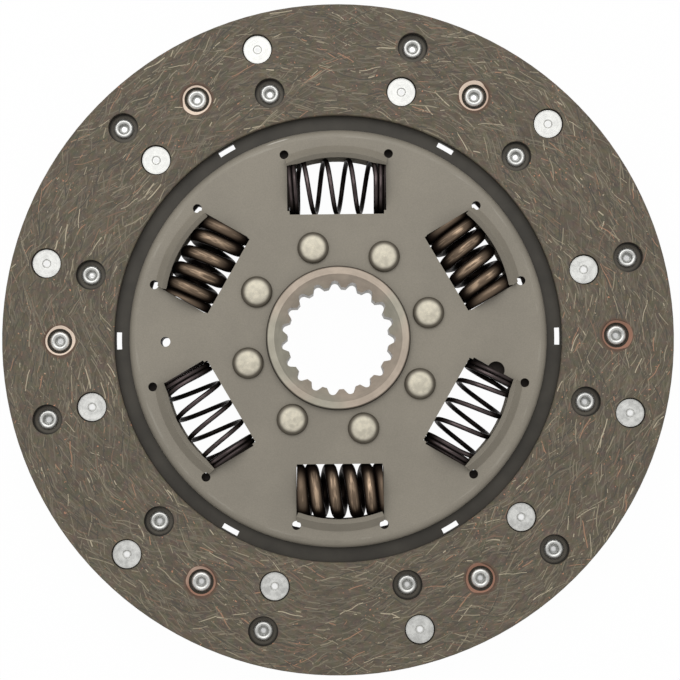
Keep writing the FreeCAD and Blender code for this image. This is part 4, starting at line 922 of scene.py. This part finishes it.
class CLUTCHDISC_OT_springs(bpy.types.Operator):
    """Wind the thin and the thick springs, three of each"""

    bl_idname = "clutch_disc.springs"
    bl_label = "Springs"

    def execute(self, context):
        finishes = context.scene.clutch_finishes
        springs = context.scene.clutch_springs
        tree = coil_tree()
        kinds = (
            ("thin", springs.row, spring_finish(
                "thin_spring", finishes.thin_spring, finishes.thin_highlight, 0.34)),
            ("thick", -springs.row, spring_finish(
                "thick_spring", finishes.thick_spring, finishes.thick_highlight, 0.38)),
        )
        for kind, row, finish in kinds:
            for number in range(SPRINGS_OF_A_KIND):
                name = f"{kind}_spring_{number + 1}"
                turn = math.radians(360.0 / SPRINGS_OF_A_KIND * number)
                piece = tree.bake(f"{name}_wire", {
                    "Diameter": getattr(springs, f"{kind}_diameter"),
                    "Wire": getattr(springs, f"{kind}_wire"),
                    "Length": getattr(springs, f"{kind}_length"),
                    "Open Turns": getattr(springs, f"{kind}_turns"),
                    "Closed Turns": getattr(springs, f"{kind}_closed"),
                    "Closed Pitch": springs.closed_pitch, "Tip Turns": springs.tip_turns,
                    "Flare": math.copysign(getattr(springs, f"{kind}_flare"), row),
                    "Start": getattr(springs, f"{kind}_start"), "Row": row, "Turn": turn,
                    "Material": finish.material,
                })
                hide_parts(name)
                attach(piece, f"{kind}_spring_set")
                getattr(springs, f"{kind}_keep")
                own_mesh(piece)
        return {"FINISHED"}


def add_lamp(name, place, aim, size, power):
    """Hang a rectangular soft lamp."""
    data = bpy.data.lights.new(name, "AREA")
    data.shape = "RECTANGLE"
    data.size = size[0]
    data.size_y = size[1]
    data.energy = power
    lamp = bpy.data.objects.new(name, data)
    bpy.context.scene.collection.objects.link(lamp)
    lamp.location = place
    lamp.rotation_euler = (Vector(aim) - Vector(place)).to_track_quat("-Z", "Y").to_euler()


class CLUTCHDISC_OT_stage(bpy.types.Operator):
    """Lay the floor, hang the lamp and place the camera"""

    bl_idname = "clutch_disc.stage"
    bl_label = "Stage"

    def execute(self, context):
        stage = context.scene.clutch_stage
        scene = context.scene
        mesh = bpy.data.meshes.new("floor")
        corners = [(x * FLOOR_HALF, y * FLOOR_HALF, FLOOR_HEIGHT)
                   for x, y in ((-1, -1), (1, -1), (1, 1), (-1, 1))]
        mesh.from_pydata(corners, [], [(0, 1, 2, 3)])
        floor = bpy.data.objects.new("floor", mesh)
        scene.collection.objects.link(floor)
        material = bpy.data.materials.new("floor")
        material.use_nodes = True
        tree = material.node_tree
        tree.nodes.clear()
        paper = put(tree, "ShaderNodeBsdfDiffuse", {"Color": PAPER})
        white = put(tree, "ShaderNodeEmission", {"Color": WHITE, "Strength": 1.0})
        path = put(tree, "ShaderNodeLightPath").outputs
        seen = maths(tree, "MAXIMUM", path["Is Camera Ray"], maths(
            tree, "MAXIMUM", path["Is Glossy Ray"], path["Is Transmission Ray"]))
        share = times(tree, seen, stage.backdrop)
        surface = put(tree, "ShaderNodeMixShader", {0: share, 1: paper.outputs[0],
                                                    2: white.outputs[0]})
        put(tree, "ShaderNodeOutputMaterial", {"Surface": surface.outputs[0]})
        mesh.materials.append(material)
        world = bpy.data.worlds.new("studio")
        world.use_nodes = True
        sky = world.node_tree.nodes["Background"].inputs
        sky["Color"].default_value = WHITE
        sky["Strength"].default_value = stage.world_strength
        scene.world = world
        add_lamp("key", KEY_PLACE, (0.0, 0.0, 0.0), KEY_SIZE, stage.key_strength)
        camera_data = bpy.data.cameras.new("camera")
        camera_data.sensor_width = SENSOR_WIDTH
        camera_data.lens = stage.lens
        camera = bpy.data.objects.new("camera", camera_data)
        scene.collection.objects.link(camera)
        place = Vector((stage.camera_right, stage.camera_up, stage.camera_height))
        aim = Vector((stage.aim_right, stage.aim_up, LINING_TOP))
        forward = (aim - place).normalized()
        right = forward.cross(Vector((0.0, 1.0, 0.0))).normalized()
        up = right.cross(forward)
        facing = Matrix((right, up, -forward)).transposed()
        camera.matrix_world = (Matrix.Translation(place) @ facing.to_4x4()
                               @ Matrix.Rotation(stage.roll, 4, "Z"))
        scene.camera = camera
        scene.view_settings.view_transform = "Standard"
        return {"FINISHED"}


class CLUTCHDISC_PT_sidebar(bpy.types.Panel):
    """Lists the steps that build the picture of the clutch disc"""

    bl_idname = "CLUTCHDISC_PT_sidebar"
    bl_label = "Clutch Disc"
    bl_space_type = "VIEW_3D"
    bl_region_type = "UI"
    bl_category = "Clutch Disc"

    def draw(self, context):
        for step in STEPS:
            self.layout.operator(step.bl_idname)
        for title, group in (("Finishes", "clutch_finishes"), ("Fibres", "clutch_fibres"),
                             ("Springs", "clutch_springs"), ("Stage", "clutch_stage")):
            box = self.layout.box()
            box.label(text=title)
            settings = getattr(context.scene, group)
            for name in settings.bl_rna.properties.keys():
                if name not in {"rna_type", "name"}:
                    box.prop(settings, name)


STEPS = (CLUTCHDISC_OT_plates, CLUTCHDISC_OT_hub, CLUTCHDISC_OT_linings, CLUTCHDISC_OT_rivets,
         CLUTCHDISC_OT_springs, CLUTCHDISC_OT_stage)
GROUPS = (("clutch_finishes", ClutchDiscFinishes), ("clutch_fibres", ClutchDiscFibres),
          ("clutch_springs", ClutchDiscSprings), ("clutch_stage", ClutchDiscStage))


def register():
    """Add the settings, the steps and the panel."""
    for name, group in GROUPS:
        bpy.utils.register_class(group)
        setattr(bpy.types.Scene, name, PointerProperty(type=group))
    for step in STEPS:
        bpy.utils.register_class(step)
    bpy.utils.register_class(CLUTCHDISC_PT_sidebar)


def unregister():
    """Take them away again."""
    bpy.utils.unregister_class(CLUTCHDISC_PT_sidebar)
    for step in reversed(STEPS):
        bpy.utils.unregister_class(step)
    for name, group in reversed(GROUPS):
        delattr(bpy.types.Scene, name)
        bpy.utils.unregister_class(group)


def main():
    """Build the picture."""
    register()
    bpy.ops.clutch_disc.plates()
    bpy.ops.clutch_disc.hub()
    bpy.ops.clutch_disc.linings()
    bpy.ops.clutch_disc.rivets()
    bpy.ops.clutch_disc.springs()
    bpy.ops.clutch_disc.stage()


if __name__ == "__main__":
    main()
